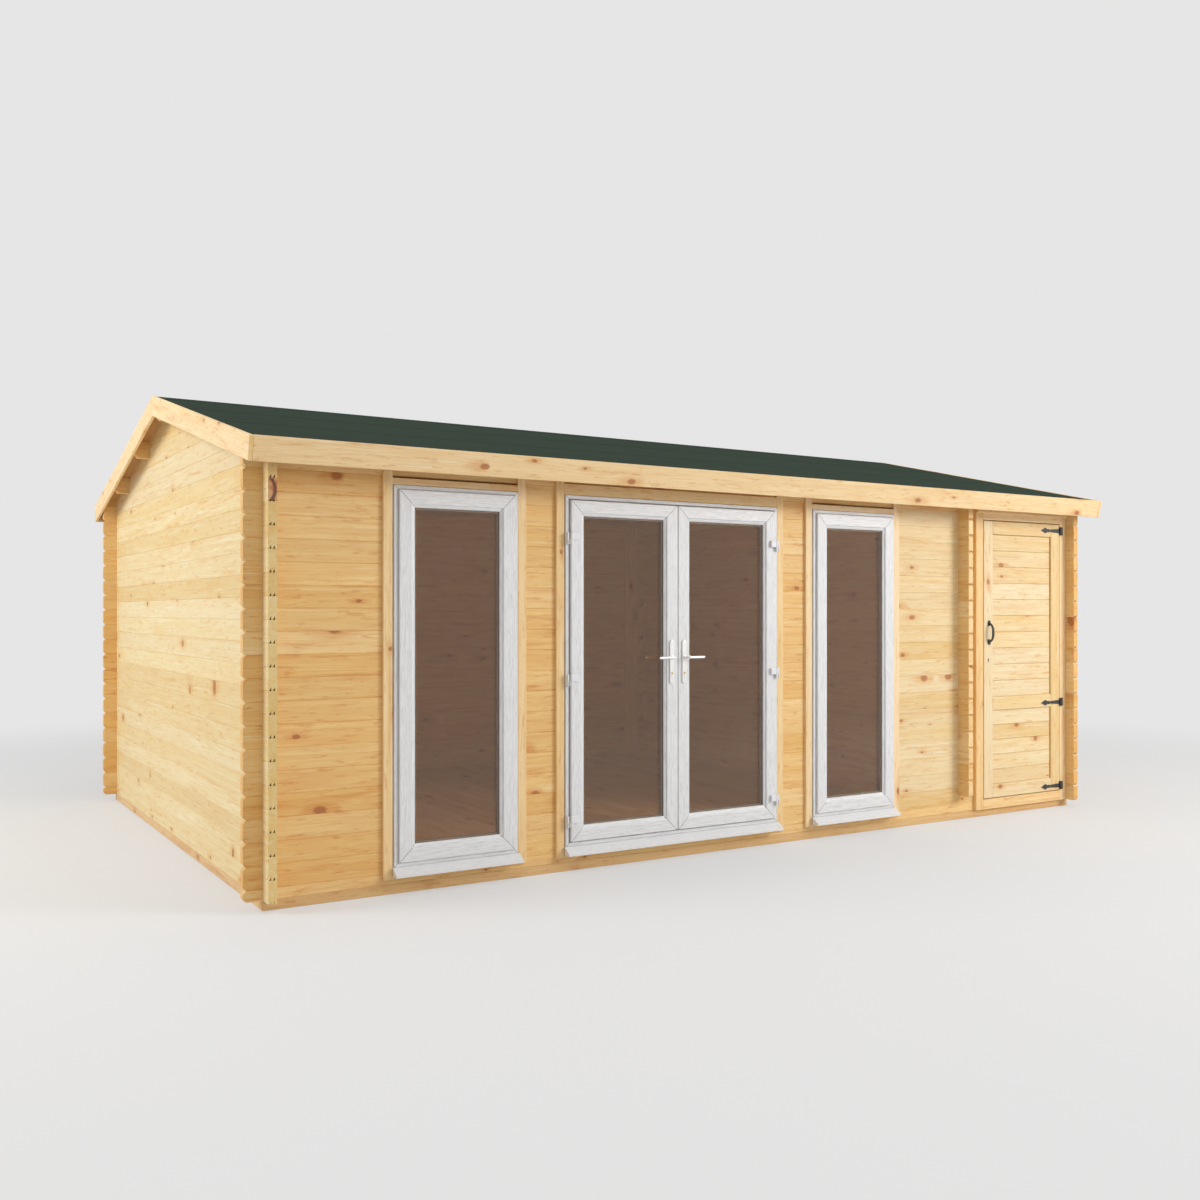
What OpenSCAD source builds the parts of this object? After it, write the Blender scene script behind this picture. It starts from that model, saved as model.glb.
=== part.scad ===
// Log cabin with a glazed room and a side store, all sizes in mm.
// X runs along the front, Y from front to rear, Z up. The origin is on the
// ground under the middle of the roof. Inside site(), x is counted from the
// outer face of the left wall and y from the outer face of the front wall.

/* [Cabin] */
// Length over the outer wall faces
cabin_w = 6070; // [5060:10:7300]
// Depth over the outer wall faces
cabin_d = 4040; // [3360:10:4900]
// Thickness of the wall logs
log_t = 44; // [34:1:56]
// Height that each log adds to a wall
course_h = 114; // [108:1:140]
// Full courses in the end walls below the gables
courses = 19; // [18:1:22]
// Length of the crossed log ends outside the corners
corner_ext = 95; // [60:1:150]
// Chamfer on the log ends
end_chamfer = 16; // [5:1:20]
// Depth of the V groove along each joint
groove = 3; // [1:0.5:6]
// Width of the store between its side walls
store_w = 1096; // [1010:1:1400]
// Width and thickness of the cover board inside the rear wall
cover_w = 150; // [80:1:200]
cover_t = 18; // [12:1:28]

/* [Base and floor] */
// Height of the base bearers and joists
base_h = 50; // [40:1:90]
// Width of the base bearers
bearer_w = 70; // [60:1:120]
// Width of the joists
joist_w = 45; // [35:1:70]
// Number of joists under the main floor
joists = 8; // [4:1:12]
// Thickness of the floor boards
floor_t = 19; // [15:1:28]

/* [Roof] */
// Slope of the roof in degrees
roof_pitch = 13.3; // [10:0.1:18]
// Overhang past the end walls
gable_ext = 122; // [100:1:300]
// Overhang past the front and rear walls
eave_ext = 215; // [150:1:400]
// Height of the bevelled log on top of the front and rear walls
eaves_log_h = 37; // [32:1:56]
// Thickness of the roof boards
deck_t = 19; // [15:1:28]
// Thickness of the roof felt
felt_t = 4; // [3:1:8]
// Depth of the fascia and barge boards
fascia_h = 123; // [90:1:150]
// Thickness of the fascia and barge boards
fascia_t = 20; // [15:1:28]
// Width of the purlins
purlin_w = 58; // [44:1:70]
// Depth of the purlins
purlin_h = 108; // [90:1:130]
// Extra depth of the ridge purlin
ridge_extra = 20; // [10:1:60]
// Distance from one purlin to the next
purlin_step = 742; // [600:1:780]

/* [Windows and glazed doors] */
// Width of the glazed door frame
door_w = 1530; // [1300:1:1700]
// Middle of the doors from the middle of the room
door_shift = -12; // [-100:1:100]
// Meeting line of the leaves from the middle of the doors
meet_shift = -9; // [-20:1:20]
// Distance from the doors to each window, middle to middle
window_dx = 1425; // [1330:1:1430]
// Width of a window frame
window_w = 718; // [600:1:730]
// Underside of the white frames
frame_z = 140; // [125:1:160]
// Packing between the frames and the head logs
head_gap = 47; // [30:1:80]
// Extra height cut out of the head logs over the doors
head_raise = 27; // [10:1:40]
// Gap between a frame and the logs beside it
side_gap = 6; // [3:1:12]
// Front of the frames ahead of the wall
frame_proud = 25; // [10:1:30]
// Width of a frame seen around its sash
frame_lip = 22; // [15:1:30]
// Width of the rebate behind the sash
rebate_w = 30; // [20:1:40]
// Width of the sash members
sash_w = 88; // [70:1:100]
// Thickness of a sash
sash_t = 52; // [44:1:56]
// Front of the sash ahead of the wall
sash_proud = 40; // [32:1:60]
// Gap between the two door leaves
meet_gap = 12; // [12:0.5:16]
// Gap between a leaf and its frame
leaf_gap = 5.5; // [5:0.5:8]
// Thickness of the sealed glazing
glass_t = 24; // [20:1:28]
// Depth of the glazing behind the sash face
glass_in = 20; // [12:1:24]
// Projection of a cill ahead of the wall
cill_out = 78; // [60:1:110]
// Height of a cill's front edge
cill_lip = 13; // [8:1:20]
// Fall of a cill from the frame to its front edge
cill_fall = 32; // [20:1:32]
// How far a cill's nose runs past its frame
cill_past = 8; // [6:1:20]
// Width and thickness of the timber trim around the frames
trim_w = 52; // [30:1:60]
trim_t = 18; // [10:1:24]
// Gap between trim and frame
trim_gap = 4; // [2:1:8]

/* [Store door] */
// Width of the store door leaf
leaf_w = 828; // [700:1:828]
// Thickness of the store door leaf
leaf_t = 42; // [36:1:46]
// Face width of the store door frame
jamb_w = 72; // [60:1:75]
// Rebate that the store door closes against
store_stop = 18; // [12:1:25]
// Width of the stiles and rails
stile_w = 95; // [80:1:130]
// Height of the middle rail above the leaf's bottom
mid_rail = 625; // [500:1:900]
// Thickness of the infill boards
infill_t = 16; // [12:1:20]

/* [Ironmongery] */
// Height of the lever spindles
lever_z = 1188; // [1000:1:1250]
// Length of a lever
lever_l = 118; // [90:1:140]
// Height and thickness of a lever
lever_h = 16; // [12:1:20]
// Spindle distance from the meeting line
lever_dx = 45; // [40:1:56]
// Distance of the levers from the leaf
lever_out = 50; // [40:1:60]
// Radius of the lever spindles
spindle_r = 8; // [6:0.5:9]
// Width, height and thickness of a back plate
plate_w = 32; // [26:1:36]
plate_h = 258; // [200:1:260]
plate_t = 8; // [5:1:10]
// Radius of the hinge pins
pin_r = 4; // [3:0.5:5]
// Radius of the white hinge barrels
barrel_r = 9; // [8:0.5:12]
// Height of a white hinge
hinge_h = 66; // [55:1:80]
// Length and thickness of a store door strap
strap_l = 212; // [150:1:300]
strap_t = 4; // [3:1:5]
// Height of the strap and its knuckle
knuckle_h = 22; // [16:1:28]
// Height and width of the fixed plate of a strap hinge
head_h = 60; // [50:1:90]
head_w = 35; // [30:1:50]
// Height of the store door pull
pull_h = 174; // [120:1:220]
// Height of the pull's lower end
pull_z = 1222; // [1000:1:1300]

/* [Hidden] */
slip = 0.02;
fit = 0.3;
clear = 5;
half = course_h / 2;
quart = course_h / 4;
rise = tan(roof_pitch);
side_top = base_h + courses * course_h;
front_z0 = base_h + half;
head_z = front_z0 + (courses - 1) * course_h;
wall_top = front_z0 + courses * course_h + eaves_log_h;
mid_y = cabin_d / 2;
ridge_z = wall_top + mid_y * rise;
ridge_h = purlin_h + ridge_extra;
past_roof = 60;
gable_joints = floor((ridge_z - past_roof - side_top) / course_h) + 1;
roof_t = deck_t + felt_t;
slope_l = (mid_y + eave_ext) / cos(roof_pitch) - roof_t * rise;
roof_x = [-gable_ext + fascia_t, cabin_w + gable_ext - fascia_t];
purlin_y = [mid_y - 2 * purlin_step, mid_y - purlin_step];

part_x = cabin_w - 2 * log_t - store_w;
door_cx = (part_x + log_t) / 2 + door_shift;
window_cx = [door_cx - window_dx, door_cx + window_dx];
frame_top = head_z - head_gap;
trim_z = frame_z - 62;
trim_top = head_z + head_raise;
door_hole = [door_cx - door_w / 2 - side_gap, door_cx + door_w / 2 + side_gap];
window_hole = [for (x = window_cx)
    [x - window_w / 2 - side_gap, x + window_w / 2 + side_gap]];

sash_y = [-sash_proud, -sash_proud + sash_t];
leaf_x = [door_cx - door_w / 2 + frame_lip + leaf_gap,
    door_cx + door_w / 2 - frame_lip - leaf_gap];
leaf_z = [frame_z + frame_lip + leaf_gap, frame_top - frame_lip - leaf_gap];
hinge_x = [leaf_x[0] - leaf_gap / 2, leaf_x[1] + leaf_gap / 2];
hinge_y = -sash_proud - barrel_r - 1;
hinge_z = [leaf_z[0] + 82, (leaf_z[0] + leaf_z[1]) / 2 - 85, leaf_z[1] - 250];
meet_x = door_cx + meet_shift;
left_leaf_x = [leaf_x[0], meet_x - meet_gap / 2];
right_leaf_x = [meet_x + meet_gap / 2, leaf_x[1]];
lever_x = [meet_x - lever_dx, meet_x + lever_dx];

jamb_x = [cabin_w - log_t - leaf_w - 2 * leaf_gap - 2 * jamb_w, cabin_w - log_t];
store_x = [jamb_x[0] + jamb_w + leaf_gap, jamb_x[1] - jamb_w - leaf_gap];
store_z = [base_h + jamb_w + leaf_gap, trim_top - jamb_w - leaf_gap];
store_y = [-frame_proud - 2, -frame_proud - 2 + leaf_t];
store_hx = store_x[1] + leaf_gap / 2;
knuckle_r = pin_r + 3;
store_hy = store_y[0] - knuckle_r - 1;
strap_z = [store_z[0] + 34, store_z[0] + mid_rail + 32, store_z[1] - 48];

// ---- shared shapes

module site() {
    translate([-cabin_w / 2, -cabin_d / 2, 0]) children();
}

// outline drawn in x and z, run along y from y0 to y1
module run_y(y0, y1) {
    translate([0, y1, 0]) rotate([90, 0, 0])
        linear_extrude(height = y1 - y0) children();
}

// outline drawn in y and z, run along x from x0 to x1
module run_x(x0, x1) {
    translate([x0, 0, 0]) rotate([90, 0, 90])
        linear_extrude(height = x1 - x0) children();
}

// box between two x, two y and two z values, in any order
module block(x, y, z) {
    translate([min(x), min(y), min(z)])
        cube([max(x) - min(x), max(y) - min(y), max(z) - min(z)]);
}

// flat rectangle between two corners
module patch(a, b) {
    translate([min(a[0], b[0]), min(a[1], b[1])])
        square([abs(b[0] - a[0]), abs(b[1] - a[1])]);
}

// border of width w inside the rectangle x by z
module ring(x, z, w) {
    difference() {
        patch([x[0], z[0]], [x[1], z[1]]);
        patch([x[0] + w, z[0] + w], [x[1] - w, z[1] - w]);
    }
}

// upright cylinder on x, y from z0 to z1
module post(x, y, r, z0, z1) {
    translate([x, y, z0]) cylinder(r = r, h = z1 - z0, $fn = 48);
}

// cylinder along y on x, z from y0 to y1
module rod_y(x, z, r, y0, y1) {
    translate([x, y1, z]) rotate([90, 0, 0])
        cylinder(r = r, h = y1 - y0, $fn = 48);
}

// ---- log walls

// section of a stack of logs from z0 to z1, with a V groove on both faces
// at zj and at each course above it
module log_section(z0, z1, zj, n) {
    difference() {
        translate([0, z0]) square([log_t, z1 - z0]);
        for (k = [0 : n - 1], s = [0, log_t])
            translate([s, zj + k * course_h])
                polygon([[-groove, 0], [0, -groove], [groove, 0], [0, groove]]);
    }
}

// V notches between the log ends that stop at s, open towards dir
module end_notches(s, dir, zj, n) {
    for (k = [0 : n - 1])
        translate([s, zj + k * course_h])
            polygon([[dir, -end_chamfer - 1], [dir, end_chamfer + 1],
                [0, end_chamfer], [-dir * end_chamfer, 0], [0, -end_chamfer]]);
}

// notches where a crossing wall's logs pass, half a course high from z0 up
module cross_notches(a, z0, n) {
    for (k = [0 : n - 1])
        translate([a, z0 + k * course_h]) square([log_t, half]);
}

// outline under the roof boards in y and z, from z0 up
module under_roof(z0) {
    polygon([[-corner_ext, z0], [cabin_d + corner_ext, z0],
        [cabin_d + corner_ext, wall_top - corner_ext * rise], [mid_y, ridge_z],
        [-corner_ext, wall_top - corner_ext * rise]]);
}

// end wall at x, crossed by n front logs from front_zj up
module end_wall(x, front_zj, n) {
    intersection() {
        run_x(x, x + log_t)
            difference() {
                translate([-corner_ext, base_h])
                    square([cabin_d + 2 * corner_ext, side_top - base_h]);
                end_notches(-corner_ext, -1, base_h, courses + 1);
                end_notches(cabin_d + corner_ext, 1, base_h, courses + 1);
                cross_notches(0, front_zj, n);
                cross_notches(cabin_d - log_t, base_h - quart, courses + 1);
            }
        run_y(-corner_ext, cabin_d + corner_ext)
            translate([x, 0]) log_section(base_h, side_top, base_h, courses + 1);
    }
}

// logs along x between y and y + log_t, the top bevelled to the roof
module long_logs(y) {
    intersection() {
        run_y(y, y + log_t) children();
        run_x(-corner_ext, cabin_w + corner_ext)
            intersection() {
                translate([y, 0])
                    log_section(base_h, wall_top + past_roof, front_z0, courses + 1);
                under_roof(base_h);
            }
    }
}

module wall_left() {
    color("burlywood") site() end_wall(0, base_h - quart, courses + 1);
}

module wall_right() {
    color("burlywood") site() end_wall(cabin_w - log_t, head_z + quart, 1);
}

// its lowest log stops flush with the front wall
module partition() {
    color("burlywood") site()
        difference() {
            end_wall(part_x, base_h - quart, courses + 1);
            block([part_x - 1, part_x + log_t + 1], [-corner_ext - 1, 0],
                [base_h - 1, base_h + course_h]);
        }
}

module wall_rear() {
    color("burlywood") site()
        long_logs(cabin_d - log_t)
            difference() {
                patch([-corner_ext, base_h],
                    [cabin_w + corner_ext, wall_top + past_roof]);
                end_notches(-corner_ext, -1, front_z0, courses + 1);
                end_notches(cabin_w + corner_ext, 1, front_z0, courses + 1);
                for (x = [0, part_x, cabin_w - log_t])
                    cross_notches(x, base_h + quart, courses + 1);
            }
}

// upright board on the inside of the rear wall beside the partition
module cover_board() {
    color("wheat") site()
        block([part_x - 72 - cover_w, part_x - 72],
            [cabin_d - log_t - cover_t, cabin_d - log_t],
            [base_h + course_h, wall_top - cover_t]);
}

// half log that runs under all the openings of the room
module front_sill() {
    color("burlywood") site()
        run_y(0, log_t)
            difference() {
                patch([-corner_ext, base_h], [jamb_x[0], front_z0]);
                end_notches(-corner_ext, -1, front_z0, 1);
                cross_notches(0, base_h + quart, 1);
                cross_notches(part_x, base_h + quart, 1);
            }
}

module front_left() {
    color("burlywood") site()
        long_logs(0)
            difference() {
                patch([-corner_ext, front_z0], [window_hole[0][0], head_z]);
                end_notches(-corner_ext, -1, front_z0, courses);
                cross_notches(0, base_h + quart, courses);
            }
}

module front_pier(x) {
    color("burlywood") site()
        long_logs(0) patch([x[0], front_z0], [x[1], head_z]);
}

module front_pier_left() {
    front_pier([window_hole[0][1], door_hole[0]]);
}

module front_pier_right() {
    front_pier([door_hole[1], window_hole[1][0]]);
}

module front_right() {
    color("burlywood") site()
        long_logs(0)
            difference() {
                patch([window_hole[1][1], front_z0], [jamb_x[0], head_z]);
                cross_notches(part_x, base_h + quart, courses);
            }
}

// logs over all the openings, cut higher over the two doorways
module front_head() {
    color("burlywood") site()
        long_logs(0)
            difference() {
                patch([-corner_ext, head_z],
                    [cabin_w + corner_ext, wall_top + past_roof]);
                end_notches(-corner_ext, -1, head_z, 2);
                end_notches(cabin_w + corner_ext, 1, head_z, 2);
                patch([door_hole[0], head_z - 1], [door_hole[1], trim_top]);
                patch([jamb_x[0], head_z - 1], [jamb_x[1], trim_top]);
                for (x = [0, part_x, cabin_w - log_t])
                    cross_notches(x, head_z - quart, 2);
            }
}

// ---- base and floor

module base_frame() {
    color("burlywood") site() {
        for (y = [0, cabin_d - bearer_w])
            block([0, cabin_w], [y, y + bearer_w], [0, base_h]);
        for (x = [0, part_x + (log_t - bearer_w) / 2, cabin_w - bearer_w])
            block([x, x + bearer_w], [0, cabin_d], [0, base_h]);
        for (k = [1 : joists])
            block([0, joist_w] + [1, 1] * k * part_x / (joists + 1),
                [bearer_w, cabin_d - bearer_w], [0, base_h]);
        block([-joist_w, 0] + [1, 1] * (cabin_w - store_w / 2),
            [bearer_w, cabin_d - bearer_w], [0, base_h]);
    }
}

module floor_boards(x) {
    color("wheat") site()
        block(x, [log_t, cabin_d - log_t], [base_h, base_h + floor_t]);
}

module floor_main() {
    floor_boards([log_t, part_x]);
}

module floor_store() {
    floor_boards([part_x + log_t, cabin_w - log_t]);
}

// ---- gables and roof

// underside of the roof boards over y
function under(y) = wall_top + (mid_y - abs(mid_y - y)) * rise;

// purlin section in y and z with its middle at y, its top on the roof boards
// or up past them
module purlin_section(y, past = -slip) {
    a = y - purlin_w / 2;
    b = y + purlin_w / 2;
    polygon([[a, under(y) - purlin_h], [b, under(y) - purlin_h],
        [b, under(b) + past], [a, under(a) + past]]);
}

module ridge_section(past = -slip) {
    a = mid_y - purlin_w / 2;
    b = mid_y + purlin_w / 2;
    polygon([[a, ridge_z - ridge_h], [b, ridge_z - ridge_h], [b, under(b) + past],
        [mid_y, ridge_z + past], [a, under(a) + past]]);
}

module gable(x) {
    color("burlywood") site()
        intersection() {
            run_x(x, x + log_t)
                difference() {
                    under_roof(side_top);
                    end_notches(-corner_ext, -1, side_top, 1);
                    end_notches(cabin_d + corner_ext, 1, side_top, 1);
                    for (y = [0, cabin_d - log_t]) {
                        cross_notches(y, side_top - quart, 1);
                        patch([y, side_top + 3 * quart],
                            [y + log_t, side_top + 2 * course_h]);
                    }
                    for (y = purlin_y) {
                        purlin_section(y, past_roof);
                        purlin_section(cabin_d - y, past_roof);
                    }
                    ridge_section(past_roof);
                }
            run_y(-corner_ext, cabin_d + corner_ext)
                translate([x, 0])
                    log_section(side_top, ridge_z + past_roof, side_top, gable_joints);
        }
}

module gable_left() {
    gable(0);
}

module gable_right() {
    gable(cabin_w - log_t);
}

module gable_partition() {
    gable(part_x);
}

module ridge_purlin() {
    color("burlywood") site() run_x(roof_x[0], roof_x[1]) ridge_section();
}

module purlins() {
    color("burlywood") site()
        for (y = purlin_y) {
            run_x(roof_x[0], roof_x[1]) purlin_section(y);
            run_x(roof_x[0], roof_x[1]) purlin_section(cabin_d - y);
        }
}

// point in y and z that is s down a slope from the ridge and h above the
// underside of the boards; side is 1 on the front slope and -1 on the rear
function on_slope(s, h, side) =
    [mid_y - side * (s * cos(roof_pitch) + h * sin(roof_pitch)),
    ridge_z - s * sin(roof_pitch) + h * cos(roof_pitch)];

// point on the ridge line, h above the underside of the boards
function on_ridge(h) = [mid_y, ridge_z + h / cos(roof_pitch)];

// layer over both slopes between heights h0 and h1, down to length s
module chevron(h0, h1, s) {
    polygon([on_ridge(h0), on_slope(s, h0, 1), on_slope(s, h1, 1), on_ridge(h1),
        on_slope(s, h1, -1), on_slope(s, h0, -1)]);
}

module roof_boards(side) {
    s = slope_l - fascia_t - slip;
    color("wheat") site()
        run_x(roof_x[0], roof_x[1])
            polygon([on_ridge(0), on_slope(s, 0, side), on_slope(s, deck_t, side),
                on_ridge(deck_t)]);
}

module roof_boards_front() {
    roof_boards(1);
}

module roof_boards_rear() {
    roof_boards(-1);
}

module roof_felt() {
    color("darkslategray") site()
        run_x(roof_x[0], roof_x[1])
            chevron(deck_t, roof_t, slope_l - fascia_t - slip);
}

module fascia(side) {
    color("tan") site()
        run_x(roof_x[0], roof_x[1])
            polygon([for (q = [[0, 0], [1, 0], [1, 1], [0, 1]])
                on_slope(slope_l - fascia_t * q[0], roof_t - fascia_h * q[1], side)]);
}

module fascia_front() {
    fascia(1);
}

module fascia_rear() {
    fascia(-1);
}

module barge(x) {
    color("tan") site()
        run_x(x, x + fascia_t) chevron(roof_t - fascia_h, roof_t, slope_l);
}

module barge_left() {
    barge(-gable_ext);
}

module barge_right() {
    barge(cabin_w + gable_ext - fascia_t);
}

// ---- windows

// fixed window: frame with a sash in it, middle at x
module window_frame(x) {
    a = [x - window_w / 2, x + window_w / 2];
    s = frame_lip + 2;
    color("white") site() {
        run_y(-frame_proud, log_t) ring(a, [frame_z, frame_top], frame_lip + rebate_w);
        run_y(-sash_proud, -sash_proud + sash_t)
            ring(a + [s, -s], [frame_z + s, frame_top - s], sash_w + 2);
    }
}

module window_left_frame() {
    window_frame(window_cx[0]);
}

module window_right_frame() {
    window_frame(window_cx[1]);
}

module window_glass() {
    i = frame_lip + sash_w + 4;
    color([0.45, 0.36, 0.3, 0.6]) site()
        for (x = window_cx)
            block([x - window_w / 2 + i, x + window_w / 2 - i],
                [glass_in - sash_proud, glass_in - sash_proud + glass_t],
                [frame_z + i, frame_top - i]);
}

// sloping cill under a frame of width w with its middle at x; its nose runs
// past the frame in front of the trim boards
module cill(x, w) {
    lip_z = frame_z - cill_fall - cill_lip;
    run_x(x - w / 2 - side_gap / 2, x + w / 2 + side_gap / 2)
        polygon([[-cill_out, lip_z], [-cill_out, frame_z - cill_fall],
            [-frame_proud - 3, frame_z], [log_t, frame_z], [log_t, front_z0],
            [0, front_z0], [-trim_t, front_z0 - 8], [-trim_t, lip_z]]);
    run_x(x - w / 2 - cill_past, x + w / 2 + cill_past)
        polygon([[-cill_out, lip_z], [-cill_out, frame_z - cill_fall],
            [-frame_proud - 3, frame_z], [-frame_proud - 3, lip_z]]);
}

module cills() {
    color("white") site() {
        cill(window_cx[0], window_w);
        cill(door_cx, door_w);
        cill(window_cx[1], window_w);
    }
}

// boards beside, over and under a frame of width w; the head board packs the
// gap up to the logs, which start at top
module trim_set(x, w, top) {
    a = x - w / 2 - trim_gap;
    b = x + w / 2 + trim_gap;
    z0 = frame_z - cill_fall - cill_lip;
    block([a - trim_w, a], [-trim_t, 0], [trim_z, trim_top]);
    block([b, b + trim_w], [-trim_t, 0], [trim_z, trim_top]);
    block([a, b], [-trim_t, log_t], [frame_top + 1, top - 10]);
    block([a, b], [-trim_t, 0], [trim_z, z0 - 1]);
}

module trims() {
    color("tan") site() {
        trim_set(window_cx[0], window_w, head_z);
        trim_set(door_cx, door_w, trim_top);
        trim_set(window_cx[1], window_w, head_z);
    }
}

// ---- glazed doors

// frame with the rebate that the leaves close against
module door_frame() {
    a = [door_cx - door_w / 2, door_cx + door_w / 2];
    z = [frame_z, frame_top];
    color("white") site() {
        run_y(-frame_proud, log_t) ring(a, z, frame_lip);
        run_y(sash_y[1] + clear, log_t) ring(a, z, frame_lip + rebate_w);
    }
}

// leaf between two x values, bored for a lever spindle at x = l
module glazed_leaf(x, l) {
    difference() {
        run_y(sash_y[0], sash_y[1]) ring(x, leaf_z, sash_w);
        rod_y(l, lever_z, spindle_r + fit, sash_y[0] - 1, sash_y[1] + 1);
    }
}

// moving halves of the three hinges on the pin at x, reaching to dir
module knuckles(x, dir) {
    for (z = hinge_z)
        difference() {
            union() {
                post(x, hinge_y, barrel_r, z + hinge_h / 2, z + hinge_h);
                block([x, x + dir * 36], [hinge_y + 2, -sash_proud],
                    [z + hinge_h / 2, z + hinge_h]);
            }
            post(x, hinge_y, pin_r + fit, z, z + hinge_h - 4);
        }
}

module leaf_left() {
    color("white") site() {
        glazed_leaf(left_leaf_x, lever_x[0]);
        knuckles(hinge_x[0], 1);
    }
}

module leaf_right() {
    color("white") site() {
        glazed_leaf(right_leaf_x, lever_x[1]);
        knuckles(hinge_x[1], -1);
    }
}

module leaf_glass(x) {
    color([0.45, 0.36, 0.3, 0.6]) site()
        block([x[0] + sash_w, x[1] - sash_w],
            [glass_in - sash_proud, glass_in - sash_proud + glass_t],
            [leaf_z[0] + sash_w, leaf_z[1] - sash_w]);
}

module leaf_left_glass() {
    leaf_glass(left_leaf_x);
}

module leaf_right_glass() {
    leaf_glass(right_leaf_x);
}

// fixed halves of the hinges, each with its pin and a plate on the frame
module hinge_pins(x, dir) {
    for (z = hinge_z) {
        post(x, hinge_y, barrel_r, z, z + hinge_h / 2 - 1);
        post(x, hinge_y, pin_r, z + hinge_h / 2 - 2, z + hinge_h - 8);
        block([x, x - dir * 24], [hinge_y + 2, -frame_proud],
            [z, z + hinge_h / 2 - 1]);
        block([x - dir * (barrel_r + clear), x - dir * 24],
            [hinge_y + 2, -frame_proud], [z, z + hinge_h]);
    }
}

module door_hinge_pins() {
    color("white") site() {
        hinge_pins(hinge_x[0], 1);
        hinge_pins(hinge_x[1], -1);
    }
}

// outer and inner back plates with their key cylinders at x
module plates(x) {
    z = [lever_z + 103 - plate_h, lever_z + 103];
    color("silver") site()
        for (y = [[sash_y[0] - plate_t, sash_y[0]], [sash_y[1], sash_y[1] + plate_t]]) {
            difference() {
                union() {
                    block([x - plate_w / 2, x + plate_w / 2], y,
                        z + [plate_w / 2, -plate_w / 2]);
                    rod_y(x, z[0] + plate_w / 2, plate_w / 2, y[0], y[1]);
                    rod_y(x, z[1] - plate_w / 2, plate_w / 2, y[0], y[1]);
                }
                rod_y(x, lever_z, spindle_r + fit, y[0] - 1, y[1] + 1);
            }
        }
}

module plates_left() {
    plates(lever_x[0]);
}

module plates_right() {
    plates(lever_x[1]);
}

// outer and inner lever on one spindle at x, the grips reaching to dir
module lever(x, dir) {
    y = [sash_y[0] - lever_out, sash_y[1] + lever_out];
    color("lightgray") site() {
        rod_y(x, lever_z, spindle_r, y[0], y[1]);
        for (g = [[y[0] - 6, y[0] + lever_h - 6], [y[1] + 6 - lever_h, y[1] + 6]]) {
            rod_y(x, lever_z, lever_h / 2, g[0], g[1]);
            block([x, x + dir * lever_l], g,
                [lever_z - lever_h / 2, lever_z + lever_h / 2]);
        }
    }
}

module lever_left() {
    lever(lever_x[0], -1);
}

module lever_right() {
    lever(lever_x[1], 1);
}

// ---- store door

// frame with its rebate, and the fixed hinge plates with their pins
module store_frame() {
    color("tan") site() {
        run_y(-frame_proud, log_t) ring(jamb_x, [base_h, trim_top], jamb_w);
        run_y(store_y[1] + clear, log_t)
            ring(jamb_x, [base_h, trim_top], jamb_w + store_stop);
    }
    color("dimgray") site()
        for (z = strap_z) {
            post(store_hx, store_hy, pin_r, z - head_h / 2, z + head_h / 2);
            block([store_hx + knuckle_r + clear, store_hx + head_w],
                [store_hy + 2, -frame_proud], [z - head_h / 2, z + head_h / 2]);
            for (q = [[-head_h / 2, -knuckle_h / 2 - 1], [knuckle_h / 2 + 1, head_h / 2]]) {
                post(store_hx, store_hy, knuckle_r, z + q[0], z + q[1]);
                block([store_hx, store_hx + knuckle_r + clear],
                    [store_hy + 2, -frame_proud], [z + q[0], z + q[1]]);
            }
        }
}

// stiles and rails with boards let into both panels
module store_leaf() {
    z1 = [store_z[0] + stile_w, store_z[0] + mid_rail];
    z2 = [store_z[0] + mid_rail + stile_w, store_z[1] - stile_w];
    x = store_x + [stile_w, -stile_w];
    y = (store_y[0] + store_y[1] - infill_t) / 2;
    color("tan") site() {
        difference() {
            block(store_x, store_y, store_z);
            block(x, store_y + [-1, 1], z1);
            block(x, store_y + [-1, 1], z2);
        }
        block(x, [y, y + infill_t], z1);
        block(x, [y, y + infill_t], z2);
    }
}

// straps with their knuckles
module store_straps() {
    color("dimgray") site()
        for (z = strap_z)
            difference() {
                union() {
                    post(store_hx, store_hy, knuckle_r, z - knuckle_h / 2,
                        z + knuckle_h / 2);
                    block([store_hx - strap_l, store_hx],
                        [store_y[0] - strap_t, store_y[0]],
                        [z - knuckle_h / 2, z + knuckle_h / 2]);
                }
                post(store_hx, store_hy, pin_r + fit, z - knuckle_h, z + knuckle_h);
            }
}

module store_pull() {
    x = [-3, 13] + [1, 1] * (store_x[0] + stile_w / 2);
    y = [-45, -33] + [1, 1] * store_y[0];
    color("dimgray") site() {
        block(x, y, [pull_z, pull_z + pull_h]);
        for (z = [pull_z, pull_z + pull_h - 18])
            block(x, [y[0], store_y[0]], [z, z + 18]);
    }
}

base_frame();
floor_main();
floor_store();
wall_left();
wall_right();
wall_rear();
partition();
cover_board();
gable_left();
gable_right();
gable_partition();
front_sill();
front_left();
front_pier_left();
front_pier_right();
front_right();
front_head();
ridge_purlin();
purlins();
roof_boards_front();
roof_boards_rear();
roof_felt();
fascia_front();
fascia_rear();
barge_left();
barge_right();
window_left_frame();
window_right_frame();
window_glass();
cills();
trims();
door_frame();
door_hinge_pins();
leaf_left();
leaf_right();
leaf_left_glass();
leaf_right_glass();
plates_left();
plates_right();
lever_left();
lever_right();
store_frame();
store_leaf();
store_straps();
store_pull();
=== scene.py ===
# A log cabin with a glazed front and a side store, dressed round its construction model.
import math
import random

import bmesh
import bpy
from mathutils import Matrix, Vector


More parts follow.
